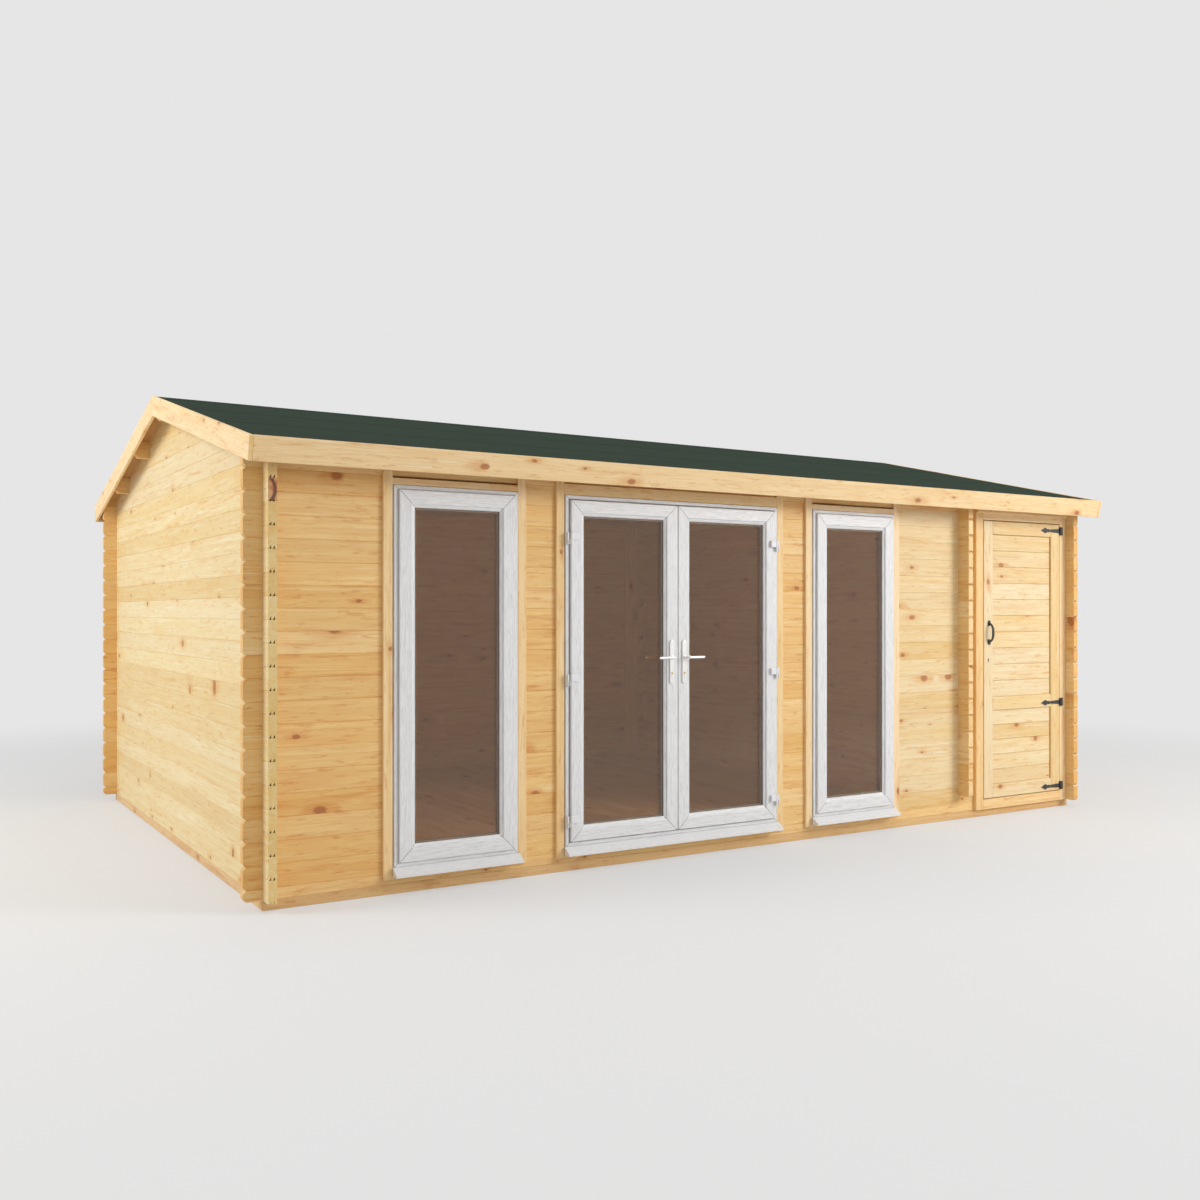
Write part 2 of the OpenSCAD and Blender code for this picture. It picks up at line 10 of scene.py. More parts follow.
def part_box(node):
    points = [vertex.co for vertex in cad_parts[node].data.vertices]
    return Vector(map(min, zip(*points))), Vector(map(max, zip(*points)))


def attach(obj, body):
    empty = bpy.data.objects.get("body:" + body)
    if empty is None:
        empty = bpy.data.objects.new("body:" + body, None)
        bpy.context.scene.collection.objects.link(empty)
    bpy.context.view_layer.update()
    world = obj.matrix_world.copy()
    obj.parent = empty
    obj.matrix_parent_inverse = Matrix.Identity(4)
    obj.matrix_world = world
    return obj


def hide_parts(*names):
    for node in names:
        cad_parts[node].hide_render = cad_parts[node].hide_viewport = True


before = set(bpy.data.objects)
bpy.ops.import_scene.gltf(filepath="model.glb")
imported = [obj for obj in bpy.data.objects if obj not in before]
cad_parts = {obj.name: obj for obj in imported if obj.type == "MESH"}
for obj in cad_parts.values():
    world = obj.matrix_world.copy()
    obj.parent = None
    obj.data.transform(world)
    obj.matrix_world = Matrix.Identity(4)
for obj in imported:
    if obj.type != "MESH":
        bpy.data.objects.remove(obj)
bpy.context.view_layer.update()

# ---- camera
# A moderately wide lens at eye height, off the left front corner.
scene = bpy.context.scene
lens = bpy.data.cameras.new("camera")
lens.lens = 35.5
lens.sensor_width = 36
lens.shift_y = 0.0103
camera = bpy.data.objects.new("camera", lens)
camera.location = (-4.658, -7.781, 1.454)
camera.rotation_euler = (math.pi / 2, 0, math.radians(-31.65))
scene.collection.objects.link(camera)
scene.camera = camera
scene.view_settings.view_transform = "Standard"

# ---- studio
# A pale floor that fades into a plain backdrop, lit by large soft lamps on
# the left and the right front and by an even sky.
def put(tree, kind, values=None, **settings):
    """A shader node of one kind, its sockets set or linked by name or number."""
    node = tree.nodes.new("ShaderNode" + kind)
    for key, value in settings.items():
        setattr(node, key, value)
    for key, value in (values or {}).items():
        if isinstance(value, bpy.types.NodeSocket):
            tree.links.new(value, node.inputs[key])
        else:
            node.inputs[key].default_value = value
    return node


def calc(tree, operation, *values):
    """The result of a Math node."""
    return put(tree, "Math", dict(enumerate(values)), operation=operation).outputs[0]


def spread(tree, value, low, high, out_low=0.0, out_high=1.0):
    """A value stretched from one range to another, and held inside it."""
    return put(tree, "MapRange", {0: value, 1: low, 2: high, 3: out_low, 4: out_high},
               interpolation_type="SMOOTHSTEP").outputs[0]


def times(tree, first, second):
    """Two values multiplied."""
    return calc(tree, "MULTIPLY", first, second)


def show(tree, shader):
    """Ends a material in a shader."""
    put(tree, "OutputMaterial", {"Surface": shader.outputs[0]})


def new_material(name):
    """An empty material and its node tree."""
    made = bpy.data.materials.new(name)
    made.use_nodes = True
    made.node_tree.nodes.clear()
    return made, made.node_tree


def seen(tree):
    """1 for rays that show the studio itself, straight or in glass and metal."""
    path = put(tree, "LightPath").outputs
    shown = calc(tree, "MAXIMUM", path["Is Camera Ray"], path["Is Glossy Ray"])
    return calc(tree, "MAXIMUM", shown, path["Is Transmission Ray"])


backdrop_grey = (0.79, 0.79, 0.79, 1)
world = bpy.data.worlds.new("studio")
world.use_nodes = True
sky = world.node_tree
sky.nodes.clear()
sky_light = put(sky, "Background", {"Color": (1.0, 1.0, 1.0, 1), "Strength": 0.50})
sky_shown = put(sky, "Background", {"Color": backdrop_grey, "Strength": 1.0})
sky_mix = put(sky, "MixShader", {0: seen(sky), 1: sky_light.outputs[0], 2: sky_shown.outputs[0]})
put(sky, "OutputWorld", {"Surface": sky_mix.outputs[0]})
scene.world = world

floor_bm = bmesh.new()
bmesh.ops.create_grid(floor_bm, x_segments=1, y_segments=1, size=60,
                      matrix=Matrix.Translation((0, 0, -0.001)))
floor_mesh = bpy.data.meshes.new("studio_floor")
floor_bm.to_mesh(floor_mesh)
floor_bm.free()
studio_floor = bpy.data.objects.new("studio_floor", floor_mesh)
scene.collection.objects.link(studio_floor)
floor_paint, tree = new_material("studio_floor")
place = put(tree, "TexCoord").outputs["Object"]
flat = put(tree, "BsdfDiffuse", {"Color": (0.80, 0.80, 0.80, 1)})
glow = put(tree, "Emission", {"Color": backdrop_grey, "Strength": 1.0})
distance = put(tree, "VectorMath", {0: place}, operation="LENGTH").outputs["Value"]
far = times(tree, spread(tree, distance, 4.5, 10.0, 0.42, 1.0), seen(tree))
floor_mix = put(tree, "MixShader", {0: far, 1: flat.outputs[0], 2: glow.outputs[0]})
show(tree, floor_mix)
floor_mesh.materials.append(floor_paint)


def lamp(name, at, towards, size, watts, colour):
    """A square soft lamp that faces a point."""
    data = bpy.data.lights.new(name, "AREA")
    data.size = size
    data.energy = watts
    data.color = colour
    made = bpy.data.objects.new(name, data)
    made.location = at
    made.rotation_euler = (Vector(towards) - Vector(at)).to_track_quat("-Z", "Y").to_euler()
    scene.collection.objects.link(made)


lamp("left_lamp", (-10, 0.6, 4.8), (-3, 0.3, 1.2), 4, 385, (1.0, 1.0, 1.0))
lamp("front_lamp", (7.2, -9.5, 5.2), (1.0, -2, 1.0), 4, 640, (1.0, 0.99, 0.98))
lamp("top_lamp", (0, -3, 11), (0, 0, 0), 8, 230, (1.0, 1.0, 1.0))

# ---- base
# Square sawn spruce bearers round the edge and under the partition, with
# joists between them, lying flat on the ground.
def piece_from(bm, name, material, body="cabin", stands_for=()):
    """A finished mesh as a piece that rides on a body."""
    bmesh.ops.recalc_face_normals(bm, faces=bm.faces)
    mesh = bpy.data.meshes.new(name)
    bm.to_mesh(mesh)
    bm.free()
    made = bpy.data.objects.new(name, mesh)
    scene.collection.objects.link(made)
    mesh.materials.append(material)
    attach(made, body)
    if stands_for:
        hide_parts(*stands_for)


def soften(bm, edges, offset, segments=1):
    """Bevels some edges, and gives the faces this makes."""
    return bmesh.ops.bevel(bm, geom=list(edges), offset=offset, offset_type="OFFSET", affect="EDGES",
                           segments=segments, profile=0.5, material=-1)["faces"]


def blend(tree, amount, first, second, kind="MIX"):
    """The colour that a Mix node gives."""
    node = put(tree, "Mix", {0: amount, 6: first, 7: second},
               data_type="RGBA", blend_type=kind)
    return node.outputs[2]


def plus(tree, first, second):
    """Two values added."""
    return calc(tree, "ADD", first, second)


def pattern(tree, vector, scale, detail=2.0, rough=0.5, stretch=(1, 1, 1)):
    """Noise on a vector, stretched by three factors."""
    drawn = put(tree, "VectorMath", {0: vector, 1: stretch}, operation="MULTIPLY")
    return put(tree, "TexNoise", {"Vector": drawn.outputs[0], "Scale": scale, "Detail": detail,
                                  "Roughness": rough}).outputs[0]


def dented(tree, height, strength, depth):
    """The surface direction that a fine relief gives."""
    return put(tree, "Bump", {"Height": height, "Strength": strength, "Distance": depth}).outputs[0]


def coat(tree, sockets):
    """Ends a material in a Principled surface with these sockets."""
    show(tree, put(tree, "BsdfPrincipled", sockets))


def spruce(name, pale, deep, stain, knotted=0.32):
    """Planed spruce. The grain attribute gives each board its place in its tree:
    along the trunk, and across it from the pith. The tone attribute gives its
    own lightness, how stained it is, 1 on end grain, and how bleached it is."""
    made, tree = new_material(name)
    grain = put(tree, "Attribute", attribute_name="grain").outputs["Vector"]
    looks = put(tree, "Attribute", attribute_name="tone").outputs
    light, stained, end = put(tree, "SeparateColor", {0: looks["Color"]}).outputs

    def noise(scales, detail=3.0, rough=0.6):
        """Noise on the grain, finer the larger its scales."""
        return pattern(tree, grain, 1.0, detail, rough, scales)

    def shift(value, amount):
        """Noise made to swing both ways by an amount."""
        return times(tree, calc(tree, "SUBTRACT", value, 0.5), amount)

    def reach_of(first, second):
        """The length of two distances at right angles."""
        return calc(tree, "SQRT", plus(tree, calc(tree, "POWER", first, 2.0),
                                       calc(tree, "POWER", second, 2.0)))

    along, across, deepness = put(tree, "SeparateXYZ", {0: grain}).outputs
    reach = reach_of(across, deepness)
    # branches run straight out from the pith and thicken outwards
    run, turn = 3.1, 0.62
    angle = calc(tree, "ARCTAN2", across, deepness)
    branch = put(tree, "CombineXYZ", {0: times(tree, along, run),
                                      1: times(tree, angle, turn)}).outputs[0]
    cells, borders = (put(tree, "TexVoronoi", {"Vector": branch, "Scale": 1.0},
                          voronoi_dimensions="2D", feature=kind).outputs
                      for kind in ("F1", "DISTANCE_TO_EDGE"))
    chance = put(tree, "SeparateColor", {0: cells["Color"]}).outputs
    away = put(tree, "VectorMath", {0: branch, 1: cells["Position"]},
               operation="SUBTRACT").outputs[0]
    off = put(tree, "SeparateXYZ", {0: away}).outputs
    off_along = calc(tree, "DIVIDE", off[0], run)
    off_round = times(tree, calc(tree, "DIVIDE", off[1], turn), reach)
    present = calc(tree, "GREATER_THAN", chance[0], 1 - knotted)
    size = times(tree, reach, plus(tree, times(tree, chance[1], 0.14), 0.07))
    rag = shift(noise((70, 110, 110)), 0.013)
    near, fade = (calc(tree, "DIVIDE", plus(tree, rag, reach_of(times(tree, off_along, drawn),
                                                                off_round)), size)
                  for drawn in (0.55, 0.30))
    knot = times(tree, spread(tree, near, 1.05, 0.55), present)
    halo = times(tree, times(tree, spread(tree, fade, 2.6, 0.1), present),
                 spread(tree, borders["Distance"], 0.0, 0.13))
    # yearly rings, bent round the branches
    sway = plus(tree, shift(noise((1.6, 9, 9), 2.0, 0.5), 0.05),
                shift(noise((7, 40, 40), 2.0, 0.5), 0.007))
    depth = plus(tree, plus(tree, reach, sway), times(tree, halo, 0.007))
    year = calc(tree, "FRACT", times(tree, depth, 235.0))
    ring = times(tree, spread(tree, year, 0.15, 0.85), spread(tree, year, 1.0, 0.88))
    wide = spread(tree, calc(tree, "FRACT", times(tree, depth, 43.0)), 0.0, 1.0)
    # streaks of deeper and paler wood, then stained flames, dapples and fibres
    streak = spread(tree, noise((0.9, 34, 34)), 0.30, 0.72)
    patch = spread(tree, noise((2.4, 11, 11)), 0.46, 0.74)
    clear = spread(tree, noise((1.7, 52, 52)), 0.54, 0.76)
    flame = spread(tree, noise((2.2, 30, 30), 4.0, 0.62), 0.50, 0.80)
    dapple = spread(tree, noise((8, 42, 42), 4.0, 0.7), 0.54, 0.70)
    fibres = spread(tree, noise((5, 130, 130), 3.0, 0.65), 0.50, 0.78)
    glow = spread(tree, noise((9, 130, 130), 3.0, 0.7), 0.30, 0.70, 0.30, 0.90)
    ruddy = plus(tree, times(tree, calc(tree, "MINIMUM", stained, 1.0), 0.70), 0.20)
    bleached = (pale[0] * 1.03, pale[1] * 1.16, pale[2] * 1.65, 1)
    core = blend(tree, calc(tree, "FRACT", times(tree, near, 2.6)), (0.30, 0.085, 0.025, 1),
                 (0.50, 0.175, 0.050, 1))
    # end grain is deeper, and a log sawn from the heart of its tree shows it red
    heart = times(tree, end, spread(tree, stained, 1.2, 1.8))
    blotch = spread(tree, noise((30, 30, 55)), 0.35, 0.65, 0.50, 0.95)
    crescent = spread(tree, calc(tree, "ABSOLUTE", calc(tree, "SUBTRACT", reach, 0.085)), 0.013, 0.003)
    # the bleach from the tone's alpha is weathering on faces, and painted light on the partition's end
    # grain
    colour = pale
    for cover, share, tint in (
            (streak, 0.60, deep), (ring, 0.26, deep), (wide, 0.20, deep), (patch, 0.60, deep),
            (clear, 0.70, bleached), (looks["Alpha"], 1.0, bleached), (flame, ruddy, stain),
            (dapple, 0.55, stain), (fibres, 0.45, stain), (halo, glow, stain), (knot, 0.82, core),
            (end, 0.25, deep), (times(tree, heart, blotch), 1.0, (0.48, 0.135, 0.045, 1)),
            (times(tree, heart, crescent), 0.85, (0.085, 0.018, 0.012, 1))):
        colour = blend(tree, times(tree, cover, share), colour, tint)
    # the darker boards are the warmer ones
    lightness = put(tree, "CombineColor", {0: calc(tree, "POWER", light, 0.5), 1: light,
                                           2: calc(tree, "POWER", light, 2.0)}).outputs[0]
    fleck = noise((60, 900, 900), 2.0, 0.5)
    height = plus(tree, times(tree, ring, 0.5), times(tree, fleck, 0.6))
    rough = spread(tree, plus(tree, times(tree, ring, 0.3), fleck), 0.0, 1.3, 0.50, 0.66)
    coat(tree, {"Base Color": blend(tree, 1.0, colour, lightness, "MULTIPLY"), "Roughness": rough,
                "Normal": dented(tree, height, 0.25, 0.0006)})
    return made


chances = random.Random(7)


class Timber:
    """Sawn and planed boards that share one mesh and one finish."""

    def __init__(self):
        self.bm = bmesh.new()
        self.grain = self.bm.loops.layers.float_vector.new("grain")
        self.tone = self.bm.faces.layers.float_color.new("tone")
        self.fresh = self.bm.faces.layers.int.new("finished")

    def turned(self, corner, along, across):
        """The matrix that lays a board out from its corner."""
        along, across = Vector(along).normalized(), Vector(across).normalized()
        place = Matrix((along, across, along.cross(across))).transposed().to_4x4()
        place.translation = corner
        return place

    def finish(self, place, heart=None, whole=None, end_painted_light=0.0, **looks):
        """Gives the newest faces their grain, as one board laid out by place.
        A board with a heart is sawn round its tree's pith, at that place, and
        its end grain can be bleached apart from its faces: painted light on ends that face the lamps."""
        start, sway, back, light, stain, pale = whole or self.draw(**looks)
        if heart:
            sway, back, stain = *heart, 2.0
        inverse = place.inverted()
        turn = inverse.to_3x3()
        for face in self.bm.faces:
            if not face[self.fresh]:
                face[self.fresh] = 1
                end = abs((turn @ face.normal).x) > 0.9
                face[self.tone] = (light, stain, 1.0 if end else 0.0, end_painted_light if end else pale)
                for loop in face.loops:
                    at = inverse @ loop.vert.co
                    loop[self.grain] = (at.x + start, at.y - sway, at.z + back)

    def draw(self, tone=(0.94, 1.06), stained=0.5, pale=0.3):
        """The chances of one board: where in its tree it grew, and its look."""
        return (chances.uniform(0, 60), chances.uniform(-0.05, 0.16), chances.uniform(0.015, 0.10),
                chances.uniform(*tone), chances.random() ** 2 * stained * 2,
                min(0.95, pale * chances.uniform(0.3, 1.7)))

    def board(self, corner, along, across, size, edge=0.0015, cuts=(), **looks):
        """A board from its corner, size being its length, width and thickness.
        Cuts are planes in the frame, each a point and the way to the waste."""
        place = self.turned(corner, along, across)
        shape = place @ Matrix.Translation(Vector(size) / 2) @ Matrix.Diagonal((*size, 1))
        verts = bmesh.ops.create_cube(self.bm, size=1, matrix=shape)["verts"]
        verts = self.trim(verts, cuts)
        if edge:
            soften(self.bm, {e for v in verts for e in v.link_edges}, edge)
        self.bm.normal_update()
        self.finish(place, **looks)

    def trim(self, verts, cuts):
        """Saws off what lies past each plane and closes the cut."""
        for point, waste in cuts:
            verts = [v for v in verts if v.is_valid]
            edges = {e for v in verts for e in v.link_edges}
            faces = {f for v in verts for f in v.link_faces}
            cut = bmesh.ops.bisect_plane(self.bm, geom=[*verts, *edges, *faces], dist=1e-6,
                                         plane_co=point, plane_no=waste, clear_outer=True)
            rim = [g for g in cut["geom_cut"] if isinstance(g, bmesh.types.BMEdge)]
            if rim:
                bmesh.ops.holes_fill(self.bm, edges=rim, sides=0)
            fresh = {g for g in cut["geom"] if isinstance(g, bmesh.types.BMVert) and g.is_valid}
            fresh |= {v for e in rim if e.is_valid for v in e.verts}
            verts = list(fresh | {v for v in verts if v.is_valid})
        return verts

    def done(self, name, slot, material, body="cabin", stands_for=()):
        """Turns all that has been laid into one piece."""
        self.bm.faces.layers.int.remove(self.fresh)
        piece_from(self.bm, name, material, body, stands_for)


sawn_spruce = spruce("sawn_spruce", (0.76, 0.50, 0.21, 1), (0.64, 0.37, 0.12, 1),
                     (0.52, 0.22, 0.07, 1))
low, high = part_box("base_frame")
bearer_w, joist_w, log_t = 0.070, 0.045, 0.044
partition_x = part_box("partition")[0].x
X, Y, Z = Vector((1, 0, 0)), Vector((0, 1, 0)), Vector((0, 0, 1))
base_h = high.z - low.z
base = Timber()
for y in (low.y, high.y - bearer_w):
    base.board((low.x, y, low.z), X, Y, (high.x - low.x, bearer_w, base_h))
inner_l = high.y - low.y - 2 * bearer_w
for x in (low.x, partition_x + (log_t - bearer_w) / 2, high.x - bearer_w):
    base.board((x + bearer_w, low.y + bearer_w, low.z), Y, -X, (inner_l, bearer_w, base_h))
joists = 8
store_inner = high.x - log_t - partition_x - log_t
for k in range(1, joists + 1):
    x = low.x + (partition_x - low.x) * k / (joists + 1)
    base.board((x + joist_w, low.y + bearer_w, low.z), Y, -X, (inner_l, joist_w, base_h))
base.board((high.x - store_inner / 2, low.y + bearer_w, low.z), Y, -X, (inner_l, joist_w, base_h))
base.done("base_timbers", "base", sawn_spruce, stands_for=["base_frame"])

# ---- floor
# Tongued boards that run from the front to the rear in both rooms, nailed
# down on the joists, with a fine gap along each joint.
floor_spruce = spruce("floor_spruce", (0.72, 0.54, 0.33, 1), (0.60, 0.40, 0.21, 1),
                      (0.48, 0.24, 0.10, 1))
board_w, board_gap = 0.118, 0.0015
for node, name in (("floor_main", "floor_boards_main"), ("floor_store", "floor_boards_store")):
    low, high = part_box(node)
    boards = Timber()
    count = max(1, round((high.x - low.x) / board_w))
    step = (high.x - low.x) / count
    for k in range(count):
        boards.board((low.x + (k + 1) * step - board_gap, low.y, low.z), Y, -X,
                     (high.y - low.y, step - board_gap, high.z - low.z), edge=0.002)
    boards.done(name, "floor", floor_spruce, stands_for=[node])

# ---- log walls
# Planed spruce logs with two tongues, laid in courses and locked where the
# walls cross by notches half a log high. A fine V runs along every joint, and
# the gaps beside the tongues show as two dark holes at each joint of the ends.
course_h = 0.114
joint_v = 0.003
end_chamfer = 0.016
slope = math.radians(13.3)
fall = math.tan(slope)


def roof_ways(side):
    """The ways down a slope and square out of it, side -1 being the front."""
    return (Vector((0, side * math.cos(slope), -math.sin(slope))),
            Vector((0, side * math.sin(slope), math.cos(slope))))


def log_outline(bottom, top, grooved):
    """Section of a log between two heights, in height and depth."""
    v, t = joint_v, log_t
    points = [(bottom + v, 0), (bottom, v)]
    if grooved:
        for side in (0.0040, 0.0220):
            points += [(bottom, side), (bottom + 0.018, side + 0.011), (bottom, side + 0.012)]
    points += [(bottom, t - v), (bottom + v, t), (top - v, t), (top, t - v), (top, v), (top - v, 0)]
    return points


def prism(stack, place, outline, start, end):
    """An outline drawn across a board, run along it from start to end."""
    corners = [stack.bm.verts.new(place @ Vector((start, u, v))) for u, v in outline]
    face = stack.bm.faces.new(corners)
    run = bmesh.ops.extrude_face_region(stack.bm, geom=[face])["geom"]
    moved = [g for g in run if isinstance(g, bmesh.types.BMVert)]
    bmesh.ops.translate(stack.bm, verts=moved, vec=place.to_3x3() @ Vector((end - start, 0, 0)))
    return corners + moved


def lay_log(stack, corner, along, length, crossings=(), bottom=0.0, top=course_h, free=(True, True),
            cuts=(), chamfer=end_chamfer, bedded=False, heart=None, end_painted_light=0.0, **looks):
    """A log from its lower outer corner. Crossings are the places along it
    where other walls pass, and a bedded log is not notched below there. Free
    ends are chamfered above and below."""
    place = stack.turned(corner, along, Z)
    whole = stack.draw(**{"tone": (0.88, 1.05), "stained": 0.55, **looks})
    stops = [0.0]
    for c in crossings:
        stops += [c, c + log_t]
    stops.append(length)
    for k, (start, end) in enumerate(zip(stops, stops[1:])):
        if k % 2:
            under = bottom if bedded else max(bottom, course_h / 4)
            over = min(top, course_h * 3 / 4)
            neck = [(under, 0), (under, log_t), (over, log_t), (over, 0)]
            if under < over:
                stack.trim(prism(stack, place, neck, start, end), cuts)
            continue
        verts = prism(stack, place, log_outline(bottom, top, grooved=bottom == 0.0), start, end)
        way = place.to_3x3()
        ends = []
        for stop, sign, is_end in ((0.0, -1, k == 0 and free[0]),
                                   (length, 1, end == length and free[1])):
            if is_end:
                for level, lift in ((bottom, -1), (top, 1)):
                    point = place @ Vector((stop - sign * chamfer, level, 0))
                    ends.append((point, way @ Vector((sign, lift, 0))))
        stack.trim(verts, [*ends, *cuts])
    stack.bm.normal_update()
    stack.finish(place, heart, whole, end_painted_light)


# painted light: a paler, less saturated copy of the front wood for the left gable side, standing for the
# strong lamp on that side
painted_lit_side_spruce = spruce("painted_lit_side_spruce", (0.80, 0.665, 0.36, 1), (0.745, 0.495, 0.155, 1),
                     (0.68, 0.36, 0.09, 1), knotted=0.22)
front_spruce = spruce("front_spruce", (0.865, 0.595, 0.225, 1), (0.76, 0.385, 0.092, 1),
                      (0.64, 0.23, 0.048, 1), knotted=0.22)
# painted light: a paler copy of the front wood for the right-hand front logs and the store door, standing
# for the brighter light from the right front
painted_lit_spruce = spruce("painted_lit_spruce", (0.82, 0.66, 0.355, 1), (0.76, 0.48, 0.15, 1),
                     (0.68, 0.33, 0.08, 1), knotted=0.35)
front_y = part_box("front_head")[0].y
rear_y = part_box("wall_rear")[1].y
left_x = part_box("wall_left")[0].x
right_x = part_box("wall_right")[1].x
ext = front_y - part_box("wall_left")[0].y
ridge_y = (front_y + rear_y) / 2
side_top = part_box("wall_left")[1].z
wall_len_y = rear_y - front_y + 2 * ext
wall_len_x = right_x - left_x + 2 * ext
ridge_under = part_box("ridge_purlin")[1].z
ridge = Vector((0, ridge_y, ridge_under))
roof_cuts = [(ridge, roof_ways(side)[1]) for side in (-1, 1)]
across_y = [ext, wall_len_y - ext - log_t]
courses = 19
# the left wall wears the paler copy, painted light for its brightly lit side
end_walls = (("wall_left", left_x, painted_lit_side_spruce, 0.0015), ("partition", partition_x, front_spruce, 0.010),
             ("wall_right", right_x - log_t, front_spruce, 0.010))
for node, x, finish, chamfer in end_walls:
    stack = Timber()
    for k in range(courses):
        # the partition's foot log stops behind the front wall
        start = ext + log_t if node == "partition" and k == 0 else 0.0
        heart = (0.057, 0.052) if (node, k) == ("wall_left", courses - 2) else None
        crossed = across_y if node != "wall_right" else [across_y[1]]
        # painted light: the partition's log ends are bleached to full paleness, standing for the front
        # lamp on the ends while their sides stay in shade
        lay_log(stack, (x, front_y - ext + start, base_h + k * course_h), Y,
                wall_len_y - start, [c - start for c in crossed if c > start],
                free=(start == 0.0, True), chamfer=chamfer, heart=heart,
                pale=0.2 if node == "wall_left" else 0.5,
                end_painted_light=1.0 if node == "partition" else 0.0)
    stack.done(node + "_logs", "wall_logs", finish, stands_for=[node])

# ---- gables
# Shorter logs on top of the end walls and the partition, sawn to the slope
# of the roof.
for node, x in (("gable_left", left_x), ("gable_partition", partition_x),
                ("gable_right", right_x - log_t)):
    stack = Timber()
    level, k = side_top, 0
    while level < ridge_under - 0.02:
        reach = (ridge_under - level) / fall
        if k == 0:
            start, end = front_y - ext, rear_y + ext
        else:
            start, end = max(front_y + log_t, ridge_y - reach), min(rear_y - log_t, ridge_y + reach)
        lay_log(stack, (x, start, level), Y, end - start, cuts=roof_cuts,
                free=(k == 0, k == 0))
        level += course_h
        k += 1
    # the gable logs take the same paler copy, painted light
    stack.done(node + "_logs", "wall_logs", painted_lit_side_spruce, stands_for=[node])

# ---- front and rear walls
# Full logs over and beside the openings and short ones between them, from a
# half log at the floor to a thin bevelled log under the roof boards.
front_z0 = base_h + course_h / 2
across_x = [ext, partition_x - left_x + ext, wall_len_x - ext - log_t]
rear = Timber()
for k in range(-1, courses + 1):
    bottom = course_h / 2 if k == -1 else 0.0
    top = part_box("wall_rear")[1].z - (front_z0 + k * course_h) + 0.02 if k == courses else course_h
    lay_log(rear, (left_x - ext, rear_y, front_z0 + k * course_h), X, wall_len_x, across_x,
            bottom=bottom, top=top, cuts=roof_cuts if k >= courses - 1 else ())
rear.done("wall_rear_logs", "wall_logs", front_spruce, stands_for=["wall_rear"])

for node in ("front_left", "front_pier_left", "front_pier_right", "front_right"):
    low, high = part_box(node)
    stack = Timber()
    passed = [a + left_x - ext - low.x for a in across_x]
    passed = [a for a in passed if -0.001 < a and a + log_t < high.x - low.x + 0.001]
    for k in range(courses - 1):
        lay_log(stack, (low.x, front_y + log_t, front_z0 + k * course_h), X, high.x - low.x, passed,
                free=(node == "front_left", False), bedded=(node, k) == ("front_right", 0),
                pale=0.25)
    # the right-hand front logs take the paler copy that paints the brighter light there
    finish = painted_lit_spruce if node == "front_right" else front_spruce
    stack.done(node + "_logs", "wall_logs", finish, stands_for=[node])

low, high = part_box("front_sill")
stack = Timber()
lay_log(stack, (low.x, front_y + log_t, front_z0 - course_h), X, high.x - low.x,
        [across_x[0] + left_x - ext - low.x], bottom=course_h / 2, free=(True, False))
stack.done("front_sill_log", "wall_logs", front_spruce, stands_for=["front_sill"])

low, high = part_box("front_head")
stack = Timber()
for k in (courses - 1, courses):
    top = high.z - (front_z0 + k * course_h) + 0.02 if k == courses else course_h
    lay_log(stack, (low.x, front_y + log_t, front_z0 + k * course_h), X, high.x - low.x, across_x, top=top,
            cuts=roof_cuts)
stack.done("front_head_logs", "wall_logs", front_spruce, stands_for=["front_head"])

# ---- purlins
# Planed beams that run the whole length of the roof, let into the gables,
# with the deepest one under the ridge.
beams = Timber()
low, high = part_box("ridge_purlin")
purlin_w, purlin_h, purlin_step, nose = 0.058, 0.108, 0.742, 0.028
under_roof = [(point - Vector((0, 0, 0.0003)), waste) for point, waste in roof_cuts]
for offset, deep in ((0, 0.128), (-2, purlin_h), (-1, purlin_h), (1, purlin_h), (2, purlin_h)):
    middle = ridge_y + offset * purlin_step
    level = ridge_under - abs(offset) * purlin_step * fall - deep
    noses = [(Vector((end, 0, level + nose)), Vector((way, 0, -1)))
             for end, way in ((low.x, -1), (high.x, 1))]
    beams.board((low.x, middle + purlin_w / 2, level), X, Z, (high.x - low.x, deep + 0.02, purlin_w),
                edge=0.002, cuts=[*under_roof, *noses], tone=(0.9, 1.0))
beams.done("roof_purlins", "wall_logs", front_spruce, stands_for=["ridge_purlin", "purlins"])

# ---- roof boards
# Thin tongued boards nailed down the slope on the purlins, seen from below
# under the eaves and at the gables.
# painted shade: the roof boards are darker and redder than the wall wood, standing for the shade under the
# eaves and at the gables
painted_shade_deck_spruce = spruce("painted_shade_deck_spruce", (0.66, 0.39, 0.15, 1), (0.54, 0.26, 0.075, 1),
                     (0.44, 0.15, 0.045, 1))
deck_t, felt_t = 0.019, 0.004
low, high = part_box("roof_boards_front")
deck_l = (ridge_y - low.y - deck_t * math.sin(slope)) / math.cos(slope)
deck_count = round((high.x - low.x) / 0.116)
deck_w = (high.x - low.x) / deck_count
for node, side in (("roof_boards_front", -1), ("roof_boards_rear", 1)):
    down = roof_ways(side)[0]
    boards = Timber()
    for k in range(deck_count):
        start = low.x + (k if side < 0 else k + 1) * deck_w
        boards.board(ridge - down * 0.01 + X * start, down, -side * X,
                     (deck_l + 0.01, deck_w - 0.0006, deck_t), edge=0.002,
                     cuts=[(ridge, -side * Y)])
    boards.done(node + "_laid", "roof_boards", painted_shade_deck_spruce, stands_for=[node])

